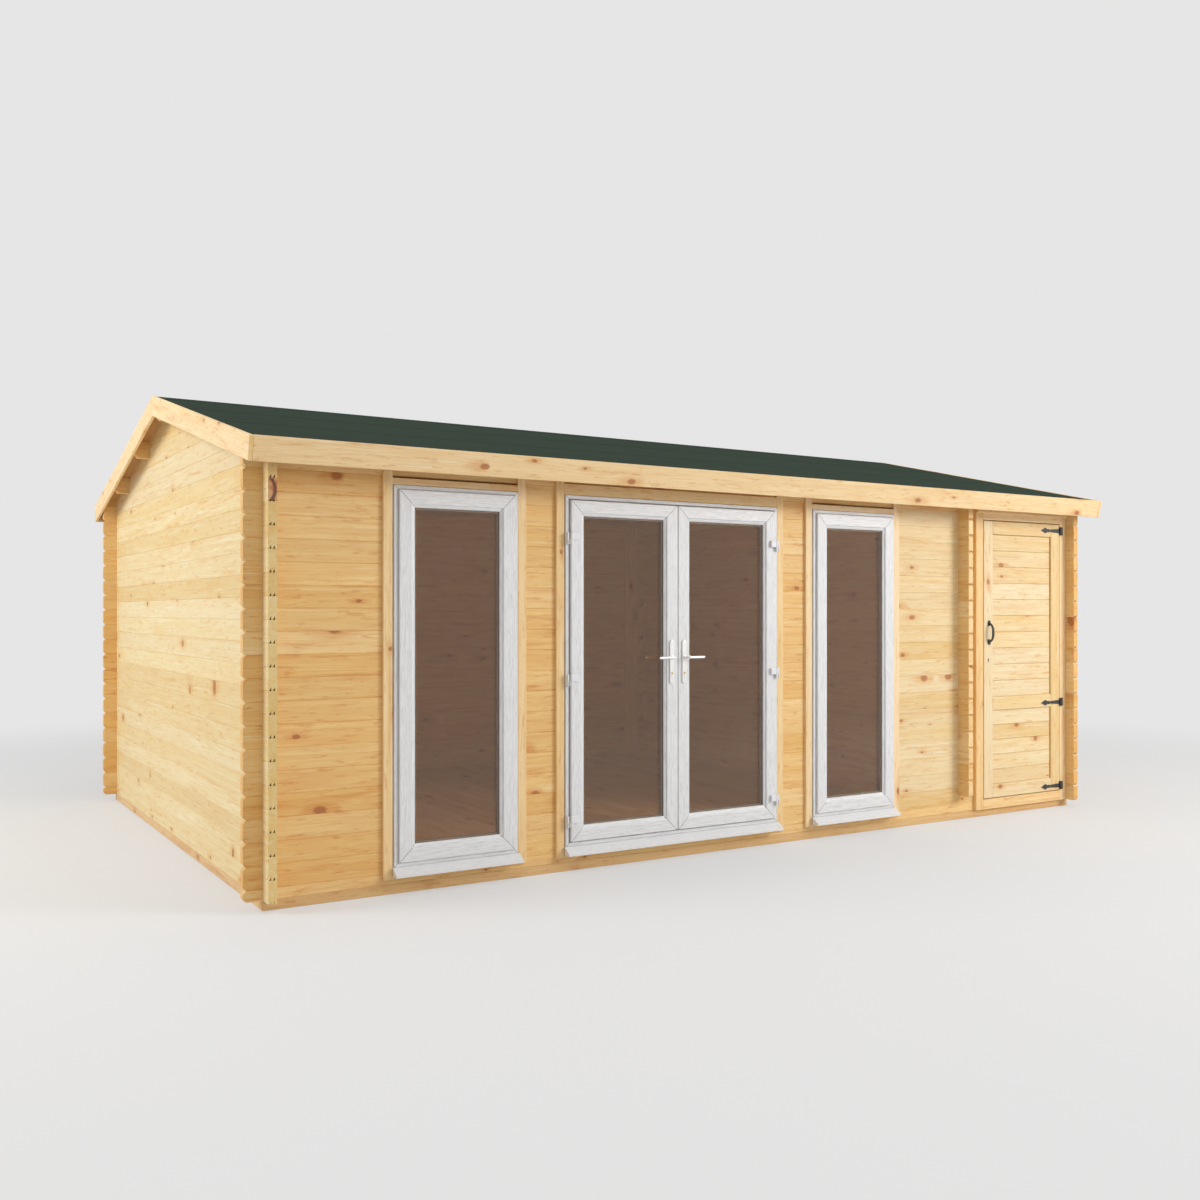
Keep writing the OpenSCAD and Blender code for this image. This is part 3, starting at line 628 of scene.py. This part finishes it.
# ---- roof felt
# Green mineral felt in strips along the roof, each lapped over the one below
# it, with a folded strip over the ridge.
mineral_felt, tree = new_material("mineral_felt")
place = put(tree, "TexCoord").outputs["Object"]
grit = put(tree, "TexVoronoi", {"Vector": place, "Scale": 420.0}).outputs
grit_grey = put(tree, "SeparateColor", {0: grit["Color"]}).outputs[0]
cloud = pattern(tree, place, 1.6, 4.0, 0.6, (1, 2.2, 1))
worn = pattern(tree, place, 9.0, 3.0, 0.6, (0.5, 2.0, 1))
green = blend(tree, spread(tree, grit_grey, 0.2, 0.95), (0.009, 0.022, 0.012, 1),
              (0.023, 0.046, 0.026, 1))
green = blend(tree, times(tree, spread(tree, cloud, 0.35, 0.75), 0.35), green,
              (0.011, 0.021, 0.013, 1))
green = blend(tree, times(tree, spread(tree, worn, 0.55, 0.8), 0.25), green,
              (0.032, 0.054, 0.034, 1))
coat(tree, {"Base Color": green, "Roughness": 0.88, "Specular IOR Level": 0.12,
            "Normal": dented(tree, grit["Distance"], 0.5, 0.0012)})
low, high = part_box("roof_felt")
felt = Timber()
strip_w, lap, sheet_t = 0.80, 0.075, 0.0006
felt_len = high.x - low.x
for side in (-1, 1):
    down, out = roof_ways(side)
    bottom = deck_l
    while bottom > 0.05:
        first = bottom == deck_l
        top = max(0.0, bottom - strip_w)
        lift_low = 0.0 if first else sheet_t + 0.0002
        foot = ridge + down * bottom + out * (deck_t + lift_low + 0.0001)
        head = ridge + down * top + out * (deck_t + 0.0001)
        start = foot + X * (low.x if side < 0 else high.x)
        felt.board(start, -side * X, head - foot, (felt_len, (head - foot).length, sheet_t),
                   edge=0.0, cuts=[(ridge, -side * Y)])
        if top == 0.0:
            break
        bottom = top + lap
    cap = ridge + down * 0.16 + out * (deck_t + sheet_t + 0.0003) + X * (low.x if side < 0 else high.x)
    felt.board(cap, -side * X, -down, (felt_len, 0.17, sheet_t), edge=0.0, cuts=[(ridge, -side * Y)])
felt.done("roof_felt_strips", "roof_felt", mineral_felt, stands_for=["roof_felt"])

# ---- fascias and barge boards
# Planed boards nailed to the ends of the roof boards and purlins, mitred at
# the ridge, standing as high as the felt.
trim_spruce = spruce("trim_spruce", (0.89, 0.655, 0.32, 1), (0.79, 0.47, 0.15, 1),
                     (0.66, 0.30, 0.075, 1), knotted=0.2)
fascia_h, fascia_t = 0.123, 0.020
roof_t = deck_t + felt_t
slope_l = deck_l + fascia_t
for node, side in (("fascia_front", -1), ("fascia_rear", 1)):
    low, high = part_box(node)
    down, out = roof_ways(side)
    board = Timber()
    board.board(ridge + down * deck_l + out * (roof_t - fascia_h) + X * (low.x if side < 0 else high.x),
                -side * X, out, (high.x - low.x, fascia_h, fascia_t), edge=0.0025, stained=0.3)
    board.done(node + "_board", "trim", trim_spruce, stands_for=[node])
for node in ("barge_left", "barge_right"):
    low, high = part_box(node)
    pair = Timber()
    for side in (-1, 1):
        down, out = roof_ways(side)
        start = ridge + out * (roof_t - fascia_h) - down * 0.03
        start.x = high.x if side < 0 else low.x
        pair.board(start, down, out, (slope_l + 0.03, fascia_h, fascia_t), edge=0.0025,
                   cuts=[(ridge + Y * side * 0.0003, -side * Y)], stained=0.3)
    pair.done(node + "_boards", "trim", trim_spruce, stands_for=[node])

# ---- cover board
# An upright board inside the rear wall, beside the partition.
low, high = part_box("cover_board")
cover = Timber()
cover.board((low.x, low.y, low.z), Z, X, (high.z - low.z, high.x - low.x, high.y - low.y), edge=0.003)
cover.done("rear_cover_board", "trim", trim_spruce, stands_for=["cover_board"])

# ---- trims
# Planed boards beside, over and under the white frames, scribed to the logs.
# The head boards leave a gap for the logs above to settle.
trim_w, trim_t, trim_gap = 0.052, 0.018, 0.004
trims_low, trims_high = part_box("trims")
head_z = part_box("front_left")[1].z
cill_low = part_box("cills")[0].z
casing = Timber()
for node in ("window_left_frame", "door_frame", "window_right_frame"):
    low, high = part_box(node)
    a, b = low.x - trim_gap, high.x + trim_gap
    top = (trims_high.z if node == "door_frame" else head_z) - 0.010
    face = front_y - trim_t
    tall = trims_high.z - trims_low.z
    casing.board((a - trim_w, face, trims_low.z), Z, X, (tall, trim_w, trim_t), edge=0.002)
    casing.board((b, face, trims_low.z), Z, X, (tall, trim_w, trim_t), edge=0.002)
    casing.board((a, front_y + log_t, high.z + 0.001), X, Z, (b - a, top - high.z - 0.001, trim_t + log_t),
                 edge=0.002)
    casing.board((a, front_y, trims_low.z), X, Z, (b - a, cill_low - 0.001 - trims_low.z, trim_t),
                 edge=0.002)
casing.done("opening_trims", "trim", trim_spruce, stands_for=["trims"])

# ---- white frames
# Hollow plastic sections under an embossed white foil, welded at mitred
# corners with a fine routed groove along each seam, its faces painted dark as painted shade.
white_foil, tree = new_material("white_foil")
grain = put(tree, "Attribute", attribute_name="grain").outputs["Vector"]
pore = pattern(tree, grain, 1.0, 3.0, 0.6, (26, 420, 420))
vein = spread(tree, pattern(tree, grain, 1.0, 3.0, 0.6, (9, 150, 150)), 0.40, 0.68)
fibre = spread(tree, pore, 0.50, 0.68)
shade = plus(tree, times(tree, fibre, 0.45), times(tree, vein, 0.45))
white = blend(tree, shade, (0.82, 0.82, 0.82, 1), (0.55, 0.55, 0.56, 1))
# painted shade: the faces of the routed mitre grooves are darkened
weld_shade = put(tree, "Attribute", attribute_name="weld_shade").outputs["Fac"]
white = blend(tree, times(tree, weld_shade, 0.85), white, (0.16, 0.16, 0.17, 1))
coat(tree, {"Base Color": white, "Normal": dented(tree, fibre, 0.35, 0.0006),
            "Roughness": spread(tree, pore, 0.3, 0.7, 0.32, 0.46)})


class Frame(Timber):
    """Sections swept round rectangles, with mitred and grooved corners."""

    def __init__(self):
        self.bm = bmesh.new()
        self.grain = self.bm.loops.layers.float_vector.new("grain")
        self.weld_shade = self.bm.faces.layers.float.new("weld_shade")
        self.fresh = self.bm.faces.layers.int.new("finished")

    def ring(self, low, high, outline, groove=True):
        """An outline of insets and depths, swept round from low to high."""
        points = [self.bm.verts.new((d - 1, y, d - 1)) for d, y in outline]
        sides = [self.bm.edges.new((a, b)) for a, b in zip(points, points[1:] + points[:1])]
        bmesh.ops.spin(self.bm, geom=points + sides, cent=(0, 0, 0), axis=(0, 1, 0), dvec=(0, 0, 0),
                       angle=2 * math.pi, steps=4, use_merge=True)
        verts = {v for p in points for v in self.island(p)}
        front = min(y for d, y in outline) + 0.014
        if groove:
            mitres = [e for e in {e for v in verts for e in v.link_edges}
                      if all(v.co.y < front for v in e.verts)
                      and all(abs(abs(v.co.x) - abs(v.co.z)) < 1e-5 for v in e.verts)
                      and e.verts[0].co.x * e.verts[1].co.x > 0
                      and e.verts[0].co.z * e.verts[1].co.z > 0]
            # the groove's new faces are marked for painted shade
            for face in soften(self.bm, mitres, 0.0014, 2):
                face[self.weld_shade] = 1.0
            verts = self.island(points[0]) if points[0].is_valid else self.loose()
            for v in verts:
                if abs(abs(v.co.x) - abs(v.co.z)) < 1e-5 and v.co.y < front - 0.002:
                    v.co.y += 0.0012
        for v in verts:
            v.co.x = low.x + 1 + v.co.x if v.co.x < 0 else high.x - 1 + v.co.x
            v.co.z = low.z + 1 + v.co.z if v.co.z < 0 else high.z - 1 + v.co.z
        self.finish()

    def island(self, start):
        """Every vertex joined to one vertex."""
        found, queue = {start}, [start]
        while queue:
            for e in queue.pop().link_edges:
                for v in e.verts:
                    if v not in found:
                        found.add(v)
                        queue.append(v)
        return found

    def loose(self):
        """The vertices of the newest faces."""
        return {v for f in self.bm.faces if not f[self.fresh] for v in f.verts}

    def finish(self):
        """Runs the grain of the newest faces along their longest side."""
        start = chances.uniform(0, 20)
        for face in self.bm.faces:
            if not face[self.fresh]:
                face[self.fresh] = 1
                run = max((e.verts[0].co - e.verts[1].co for e in face.edges), key=lambda d: d.length)
                upright = abs(run.z) > abs(run.x)
                for loop in face.loops:
                    x, y, z = loop.vert.co
                    loop[self.grain] = (z + start, x, y) if upright else (x + start, z, y + 5)


def mottled(name, scale, dark, pale, rough, detail=2.0, grit=0.5, stretch=(1, 1, 1), relief=(),
            **sockets):
    """A finish whose colour and roughness follow one pattern, which stands in
    relief where a strength and a depth are given."""
    made, tree = new_material(name)
    place = put(tree, "TexCoord").outputs["Object"]
    spots = pattern(tree, place, scale, detail, grit, stretch)
    if relief:
        sockets["Normal"] = dented(tree, spots, *relief)
    coat(tree, {"Base Color": blend(tree, spots, dark, pale),
                "Roughness": spread(tree, spots, 0.2, 0.8, *rough), **sockets})
    return made


frame_lip, rebate_w, sash_w = 0.022, 0.030, 0.088
frame_face, sash_face, wall_in = front_y - 0.025, front_y - 0.040, front_y + log_t
sash_back = sash_face + 0.052
lip_outline = [(0, wall_in), (0, frame_face + 0.003), (0.003, frame_face),
               (frame_lip - 0.003, frame_face), (frame_lip, frame_face + 0.003),
               (frame_lip, sash_back + 0.005), (frame_lip + rebate_w, sash_back + 0.005),
               (frame_lip + rebate_w, wall_in)]
sash_outline = [(0, sash_back - 0.003), (0, sash_face + 0.003), (0.003, sash_face),
                (sash_w - 0.023, sash_face), (sash_w - 0.018, sash_face + 0.0015),
                (sash_w - 0.016, sash_face + 0.0075), (sash_w - 0.006, sash_face + 0.010),
                (sash_w - 0.0005, sash_face + 0.0145), (sash_w - 0.0005, sash_face + 0.0465),
                (sash_w - 0.010, sash_back), (0.003, sash_back)]
gasket_outline = [(sash_w - 0.0035, sash_face + 0.0135), (sash_w + 0.001, sash_face + 0.0165),
                  (sash_w + 0.001, sash_face + 0.0195), (sash_w - 0.0035, sash_face + 0.0195)]
rubber = mottled("grey_gasket", 60.0, (0.16, 0.16, 0.165, 1), (0.24, 0.24, 0.245, 1), (0.55, 0.75))
for node in ("window_left_frame", "window_right_frame"):
    low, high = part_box(node)
    window = Frame()
    window.ring(low, high, lip_outline)
    step = Vector((frame_lip + 0.002, 0, frame_lip + 0.002))
    window.ring(low + step, high - step, [(d * 0.090 / sash_w, y) for d, y in sash_outline])
    window.done(node + "_welded", "frame_white", white_foil, stands_for=[node])
    seal = Frame()
    seal.ring(low + step, high - step, [(d + 0.002, y) for d, y in gasket_outline], groove=False)
    seal.done(node + "_gasket", "frame_white", rubber)
low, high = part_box("door_frame")
door = Frame()
door.ring(low, high, lip_outline)
door.done("door_frame_welded", "frame_white", white_foil, stands_for=["door_frame"])
for side in ("left", "right"):
    glass_low, glass_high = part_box("leaf_" + side + "_glass")
    edge = Vector((sash_w, 0, sash_w))
    leaf = Frame()
    leaf.ring(glass_low - edge, glass_high + edge, sash_outline)
    leaf.done("leaf_" + side + "_sash", "frame_white", white_foil, body=side + "_leaf",
              stands_for=["leaf_" + side])
    seal = Frame()
    seal.ring(glass_low - edge, glass_high + edge, gasket_outline, groove=False)
    seal.done("leaf_" + side + "_gasket", "frame_white", rubber, body=side + "_leaf")

# a strip up the edge of the left leaf closes the gap where the leaves meet
leaf_low, leaf_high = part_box("leaf_left")
meeting = Timber()
meeting.board((leaf_high.x - 0.001, sash_face + 0.004, leaf_low.z + 0.002), Z, X,
              (leaf_high.z - leaf_low.z - 0.004, 0.011, 0.040))
meeting.done("leaf_left_meeting_strip", "frame_white", white_foil, body="left_leaf")

# ---- glazing
# Sealed units of two bronze-tinted panes with a brown spacer bar between them
# round the edge.
bronze_glass, tree = new_material("bronze_glass")
tint = (1.0, 0.84, 0.67, 1)
clear = put(tree, "BsdfPrincipled", {"Base Color": tint, "Roughness": 0.02, "IOR": 1.45,
                                     "Transmission Weight": 1.0})
through = put(tree, "BsdfTransparent", {"Color": (1.0, 0.99, 0.98, 1)})
lit = put(tree, "LightPath").outputs
passing = calc(tree, "MAXIMUM", lit["Is Shadow Ray"], lit["Is Diffuse Ray"])
mixed = put(tree, "MixShader", {0: passing, 1: clear.outputs[0], 2: through.outputs[0]})
show(tree, mixed)
spacer_bar, tree = new_material("spacer_bar")
place = put(tree, "TexCoord").outputs["Object"]
coat(tree, {"Base Color": blend(tree, pattern(tree, place, 90.0), (0.17, 0.14, 0.12, 1),
                                (0.24, 0.20, 0.17, 1)), "Roughness": 0.55})
pane_t, spacer_w = 0.004, 0.009


def block(bm, low, high, edge=0.0):
    """A box between two corners with its edges rounded; gives its vertices."""
    low, high = Vector([*map(min, low, high)]), Vector([*map(max, low, high)])
    shape = Matrix.Translation((low + high) / 2) @ Matrix.Diagonal((*(high - low), 1))
    verts = bmesh.ops.create_cube(bm, size=1, matrix=shape)["verts"]
    if edge:
        soften(bm, {e for v in verts for e in v.link_edges}, edge)
    return verts


def glaze(name, low, high, body, nodes):
    """Two panes and their spacer in the space of a sealed unit."""
    panes = bmesh.new()
    for y in (low.y, high.y - pane_t):
        block(panes, (low.x, y, low.z), (high.x, y + pane_t, high.z), 0.0005)
    piece_from(panes, name + "_panes", bronze_glass, body, nodes)
    bar = Frame()
    y = low.y + pane_t
    bar.ring(low, high, [(0.0, y), (0.0, high.y - pane_t), (spacer_w, high.y - pane_t),
                         (spacer_w, y)], groove=False)
    bar.done(name + "_spacer", "glazing", spacer_bar, body)


glass_low, glass_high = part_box("window_glass")
for side in ("left", "right"):
    low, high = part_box("window_" + side + "_frame")
    inset = frame_lip + sash_w + 0.004
    glaze("window_" + side, Vector((low.x + inset, glass_low.y, glass_low.z)),
          Vector((high.x - inset, glass_high.y, glass_high.z)), "cabin",
          ["window_glass"] if side == "left" else ())
    glaze("leaf_" + side, *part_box("leaf_" + side + "_glass"), side + "_leaf",
          ["leaf_" + side + "_glass"])

# ---- cills
# Sloping white plastic cills that throw water clear of the wall.
cill_foil, tree = new_material("cill_foil")
place = put(tree, "TexCoord").outputs["Object"]
pore = pattern(tree, place, 1.0, 3.0, 0.6, (26, 420, 420))
fibre = spread(tree, pore, 0.50, 0.68)
coat(tree, {"Base Color": blend(tree, times(tree, fibre, 0.6), (0.80, 0.80, 0.80, 1),
                                (0.56, 0.56, 0.57, 1)), "Roughness": 0.38,
            "Normal": dented(tree, fibre, 0.3, 0.0005)})
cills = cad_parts["cills"].data.materials
cills.clear()
cills.append(cill_foil)

# ---- door furniture
# Satin levers on long back plates, with brass key cylinders under them.
satin = mottled("satin_metal", 1.0, (0.79, 0.77, 0.75, 1), (0.82, 0.80, 0.78, 1), (0.30, 0.36),
                stretch=(900, 900, 60), Metallic=0.7)
brass = mottled("brass", 160.0, (0.62, 0.42, 0.14, 1), (0.75, 0.55, 0.22, 1), (0.25, 0.45),
                Metallic=0.9)


def tube(bm, path, sizes, level, segments=20):
    """A closed bar along a path. Each size is its half width across the path
    and its half height along level, which no part of the path follows."""
    def stand(k):
        ahead = (path[min(k + 1, len(path) - 1)] - path[max(k - 1, 0)]).normalized()
        side = ahead.cross(Vector(level)).normalized()
        turn = Matrix((side * sizes[k][0], side.cross(ahead) * sizes[k][1], ahead)).transposed()
        turn = turn.to_4x4()
        turn.translation = path[k]
        return turn

    ring = bmesh.ops.create_circle(bm, segments=segments, radius=1, cap_ends=True,
                                   matrix=stand(0))["verts"]
    face = ring[0].link_faces[0]
    for k in range(1, len(path)):
        grown = bmesh.ops.extrude_face_region(bm, geom=[face])["geom"]
        face = next(g for g in grown if isinstance(g, bmesh.types.BMFace))
        bmesh.ops.transform(bm, matrix=stand(k) @ stand(k - 1).inverted(),
                            verts=[g for g in grown if isinstance(g, bmesh.types.BMVert)])


def stud(bm, centre, way, radius, tall, level=(0, 0, 1)):
    """A low round boss with a rounded rim, standing on a face."""
    centre, way = Vector(centre), Vector(way)
    stops = [(0, 1.0), (0.6, 1.0), (0.9, 0.85), (1.0, 0.6)]
    tube(bm, [centre + way * tall * at for at, grown in stops],
         [(radius * grown, radius * grown) for at, grown in stops], level, 16)


def plate(bm, low, high, radius, rim):
    """An upright plate facing the front or the rear, with round corners and
    softened rims."""
    verts = block(bm, low, high)
    corners = [e for e in {e for v in verts for e in v.link_edges}
               if (e.verts[0].co - e.verts[1].co).xz.length < 1e-6]
    rounded = soften(bm, corners, radius, 6)
    faces = {f for g in rounded for v in g.verts for f in v.link_faces}
    soften(bm, {e for f in faces if abs(f.normal.y) > 0.9 for e in f.edges}, rim, 2)


plate_t, lever_drop, key_drop = 0.008, 0.103, 0.092
depths = [plate_t, 0.030, 0.040, 0.0445, 0.0475, 0.048, 0.048, 0.048, 0.048]
runs = [0.0, 0.0, 0.001, 0.005, 0.014, 0.026, 0.100, 0.1155, 0.1178]
shape = [(0.0085, 0.0085), (0.0075, 0.0075), (0.0075, 0.0076), (0.0070, 0.0078), (0.0062, 0.0078),
         (0.0056, 0.0078), (0.0050, 0.0076), (0.0048, 0.0074), (0.0030, 0.0050)]
for side, way in (("left", -1), ("right", 1)):
    low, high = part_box("plates_" + side)
    middle, lever_z = (low.x + high.x) / 2, high.z - lever_drop
    key_z = lever_z - key_drop
    plates, keys, keyway_shades, levers = (bmesh.new() for k in range(4))
    for out in (-1, 1):
        face = low.y + plate_t if out < 0 else high.y - plate_t
        top = face + plate_t * out
        plate(plates, (low.x, face, low.z), (high.x, top, high.z), 0.0155, 0.002)
        stud(plates, (middle, top, lever_z), (0, out, 0), 0.0125, 0.005)
        for z in (high.z - 0.022, low.z + 0.022):
            stud(plates, (middle, top, z), (0, out, 0), 0.0038, 0.0012)
        stud(keys, (middle, top, key_z), (0, out, 0), 0.0070, 0.0026)
        plate(plates, (middle - 0.005, top, key_z - 0.027),
              (middle + 0.005, top + 0.0022 * out, key_z - 0.007), 0.0045, 0.0006)
        # painted shade: a dark sliver standing proud of each cylinder stands for the shaded keyway
        block(keyway_shades, (middle - 0.0007, top, key_z - 0.0045),
              (middle + 0.0007, top + 0.0029 * out, key_z + 0.0045), 0.0002)
        tube(levers, [Vector((middle + way * r, face + out * d, lever_z))
                      for d, r in zip(depths, runs)], shape, Z)
    piece_from(plates, "plates_" + side + "_turned", satin, side + "_leaf",
               ["plates_" + side])
    piece_from(keys, "key_cylinders_" + side, brass, side + "_leaf")
    piece_from(keyway_shades, "keyway_painted_shade_" + side, rubber, side + "_leaf")
    piece_from(levers, "lever_" + side + "_pair", satin, side + "_lever",
               ["lever_" + side])

# ---- hinges of the glazed doors
# White flag hinges: each leaf has a flag and a barrel that turns on the pin
# of the barrel below it, which stands on the frame.
white_metal = mottled("white_metal", 300.0, (0.76, 0.76, 0.77, 1), (0.82, 0.82, 0.83, 1), (0.30, 0.42),
                      relief=(0.1, 0.0004))
low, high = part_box("door_frame")
leaf_gap, barrel_r, hinge_h = 0.0055, 0.009, 0.066
leaf_low, leaf_top = low.z + frame_lip + leaf_gap, high.z - frame_lip - leaf_gap
hinge_levels = (leaf_low + 0.082, (leaf_low + leaf_top) / 2 - 0.085, leaf_top - 0.250)
hinge_y = sash_face - barrel_r - 0.001


def barrel(bm, x, y, start, end, radius):
    """An upright barrel with a rounded cap at its far end."""
    tall = end - start
    stops = [(0, 1.0), (0.82, 1.0), (0.94, 0.88), (1.0, 0.55)]
    tube(bm, [Vector((x, y, start + tall * at)) for at, grown in stops],
         [(radius * grown, radius * grown) for at, grown in stops], X, 24)


fixed_halves = bmesh.new()
for side, way, x in (("left", 1, low.x + frame_lip + leaf_gap / 2),
                     ("right", -1, high.x - frame_lip - leaf_gap / 2)):
    flags = bmesh.new()
    for z in hinge_levels:
        half = z + hinge_h / 2
        barrel(flags, x, hinge_y, half, z + hinge_h, barrel_r)
        plate(flags, (x, hinge_y - 0.006, z + 0.026), (x + way * 0.046, sash_face, z + hinge_h),
              0.006, 0.003)
        barrel(fixed_halves, x, hinge_y, half - 0.001, z, barrel_r)
        back = hinge_y + 0.002
        plate(fixed_halves, (x - way * (barrel_r + 0.005), back, z),
              (x - way * 0.024, frame_face, z + hinge_h), 0.003, 0.0015)
        plate(fixed_halves, (x, back, z + 0.001), (x - way * 0.020, frame_face, half - 0.002), 0.002,
              0.001)
    piece_from(flags, "hinge_flags_" + side, white_metal, side + "_leaf")
piece_from(fixed_halves, "hinge_frame_halves", white_metal,
           stands_for=["door_hinge_pins"])

# ---- store door frame
# Planed jambs, head and sill with a stop nailed behind them for the leaf to
# close on, and a drip batten along the head.
low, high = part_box("store_frame")
jamb_w, stop_w = 0.072, 0.018
jamb_face = front_y - 0.025
jamb_d = wall_in - jamb_face
leaf_low, leaf_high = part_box("store_leaf")
stop_y = leaf_high.y + 0.005
casing = Timber()
inner = high.x - low.x - 2 * jamb_w
tall = high.z - low.z
for x in (low.x, high.x - jamb_w):
    casing.board((x, jamb_face, low.z), Z, X, (tall, jamb_w, jamb_d), edge=0.002)
for z in (low.z, high.z - jamb_w):
    casing.board((low.x + jamb_w, wall_in, z), X, Z, (inner, jamb_w, jamb_d), edge=0.002)
for x in (low.x + jamb_w, high.x - jamb_w - stop_w):
    casing.board((x, stop_y, low.z + jamb_w), Z, X, (tall - 2 * jamb_w, stop_w, wall_in - stop_y))
for z in (low.z + jamb_w, high.z - jamb_w - stop_w):
    casing.board((low.x + jamb_w + stop_w, wall_in, z), X, Z,
                 (inner - 2 * stop_w, stop_w, wall_in - stop_y))
casing.board((low.x, jamb_face, high.z - 0.024), X, Z, (high.x - low.x, 0.020, 0.018), edge=0.003)
casing.done("store_frame_joined", "trim", trim_spruce, stands_for=["store_frame"])

# ---- store door
# A framed leaf of planed spruce with tongued boards laid across both panels,
# set back behind the stiles and rails.
stile_w, mid_rail, infill_t, infill_step = 0.095, 0.625, 0.016, 0.114
low, high = leaf_low, leaf_high
leaf_t = high.y - low.y
leaf = Timber()
for x in (low.x, high.x - stile_w):
    leaf.board((x, low.y, low.z), Z, X, (high.z - low.z, stile_w, leaf_t), edge=0.003)
rails = (low.z, low.z + mid_rail, high.z - stile_w)
for z in rails:
    leaf.board((low.x + stile_w, high.y, z), X, Z, (high.x - low.x - 2 * stile_w, stile_w, leaf_t),
               edge=0.003)
infill_y = (low.y + high.y + infill_t) / 2
for start, end in ((rails[0] + stile_w, rails[1]), (rails[1] + stile_w, rails[2])):
    count = max(1, round((end - start) / infill_step))
    step = (end - start) / count
    for k in range(count):
        leaf.board((low.x + stile_w, infill_y, start + k * step), X, Z,
                   (high.x - low.x - 2 * stile_w, step - 0.0010, infill_t), edge=0.0030,
                   tone=(0.92, 1.06))
# the leaf takes the paler copy of the wood, painted light from the right front
leaf.done("store_leaf_boarded", "store_door", painted_lit_spruce, "store_door", ["store_leaf"])

# ---- store door ironwork
# Black powder-coated strap hinges with spear ends, fixed by round-head
# screws, a bowed pull and a small keyhole plate.
black_iron = mottled("black_iron", 420.0, (0.018, 0.020, 0.022, 1), (0.045, 0.048, 0.052, 1),
                     (0.38, 0.58), 3.0, 0.6, relief=(0.3, 0.0005))
pin_x = high.x + leaf_gap / 2
knuckle_r, knuckle_h, head_h, head_w, head_t = 0.007, 0.022, 0.060, 0.035, 0.005
pin_y = low.y - knuckle_r - 0.001
strap_t, strap_l = 0.004, pin_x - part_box("store_straps")[0].x
straps, heads = bmesh.new(), bmesh.new()
spear = [(0, 15), (36, 14), (84, 11), (118, 8), (124, 12), (134, 12), (138, 9), (146, 12), (160, 20),
         (170, 19), (186, 11), (200, 5), (212, 0)]
for z in (low.z + 0.034, low.z + mid_rail + 0.032, high.z - 0.048):
    barrel(straps, pin_x, pin_y, z - knuckle_h / 2 + 0.0005, z + knuckle_h / 2, knuckle_r)
    outline = spear + [(at, -up) for at, up in spear[-2::-1]]
    corners = [straps.verts.new((pin_x - at / spear[-1][0] * strap_l, low.y, z + up / 1000))
               for at, up in outline]
    face = straps.faces.new(corners)
    run = bmesh.ops.extrude_face_region(straps, geom=[face])["geom"]
    verts = [g for g in run if isinstance(g, bmesh.types.BMVert)]
    bmesh.ops.translate(straps, verts=verts, vec=(0, -strap_t, 0))
    soften(straps, [g for g in run if isinstance(g, bmesh.types.BMEdge)], 0.0008, 2)
    for at in (0.030, 0.085, 0.164):
        stud(straps, (pin_x - at, low.y - strap_t, z), (0, -1, 0), 0.0035, 0.002)
    for bottom, top in ((z - head_h / 2, z - knuckle_h / 2 - 0.001),
                        (z + knuckle_h / 2 + 0.001, z + head_h / 2)):
        ends = (top, bottom) if bottom < z - knuckle_h else (bottom, top)
        barrel(heads, pin_x, pin_y, ends[0], ends[1], knuckle_r)
        plate(heads, (pin_x, pin_y + 0.002, bottom), (pin_x + 0.014, jamb_face, top), 0.001, 0.0005)
    plate(heads, (pin_x + knuckle_r + 0.005, jamb_face - head_t, z - head_h / 2),
          (pin_x + head_w, jamb_face, z + head_h / 2), 0.004, 0.001)
    for up in (-0.020, 0.0, 0.020):
        stud(heads, (pin_x + 0.025, jamb_face - head_t, z + up), (0, -1, 0), 0.0035, 0.002)
piece_from(straps, "store_straps_forged", black_iron, "store_door", ["store_straps"])
piece_from(heads, "store_hinge_heads", black_iron)

low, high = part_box("store_pull")
pull = bmesh.new()
middle, foot_t = (low.x + high.x) / 2, 0.004
for z, way in ((low.z, 1), (high.z, -1)):
    plate(pull, (middle - 0.014, high.y - foot_t, z), (middle + 0.014, high.y, z + way * 0.040),
          0.011, 0.001)
    for up in (0.010, 0.030):
        stud(pull, (middle, high.y - foot_t, z + way * up), (0, -1, 0), 0.0032, 0.002)
bow = [(0.020, 0.002), (0.023, 0.012), (0.032, 0.024), (0.048, 0.034), (0.068, 0.0385)]
half = [Vector((middle, high.y - out, low.z + up)) for up, out in bow]
other = [Vector((p.x, p.y, low.z + high.z - p.z)) for p in reversed(half)]
thick = [(0.0060, 0.0110), (0.0060, 0.0100), (0.0060, 0.0092), (0.0062, 0.0098), (0.0066, 0.0110)]
tube(pull, [*half, *other], [*thick, *reversed(thick)], X)
piece_from(pull, "store_pull_bowed", black_iron, "store_door", ["store_pull"])
keyhole = bmesh.new()
key_z = leaf_low.z + 0.990
stud(keyhole, (middle - 0.006, leaf_low.y, key_z), (0, -1, 0), 0.0065, 0.0015)
plate(keyhole, (middle - 0.0095, leaf_low.y - 0.0012, key_z - 0.020),
      (middle - 0.0025, leaf_low.y, key_z - 0.002), 0.003, 0.0004)
piece_from(keyhole, "store_keyhole", black_iron, "store_door")
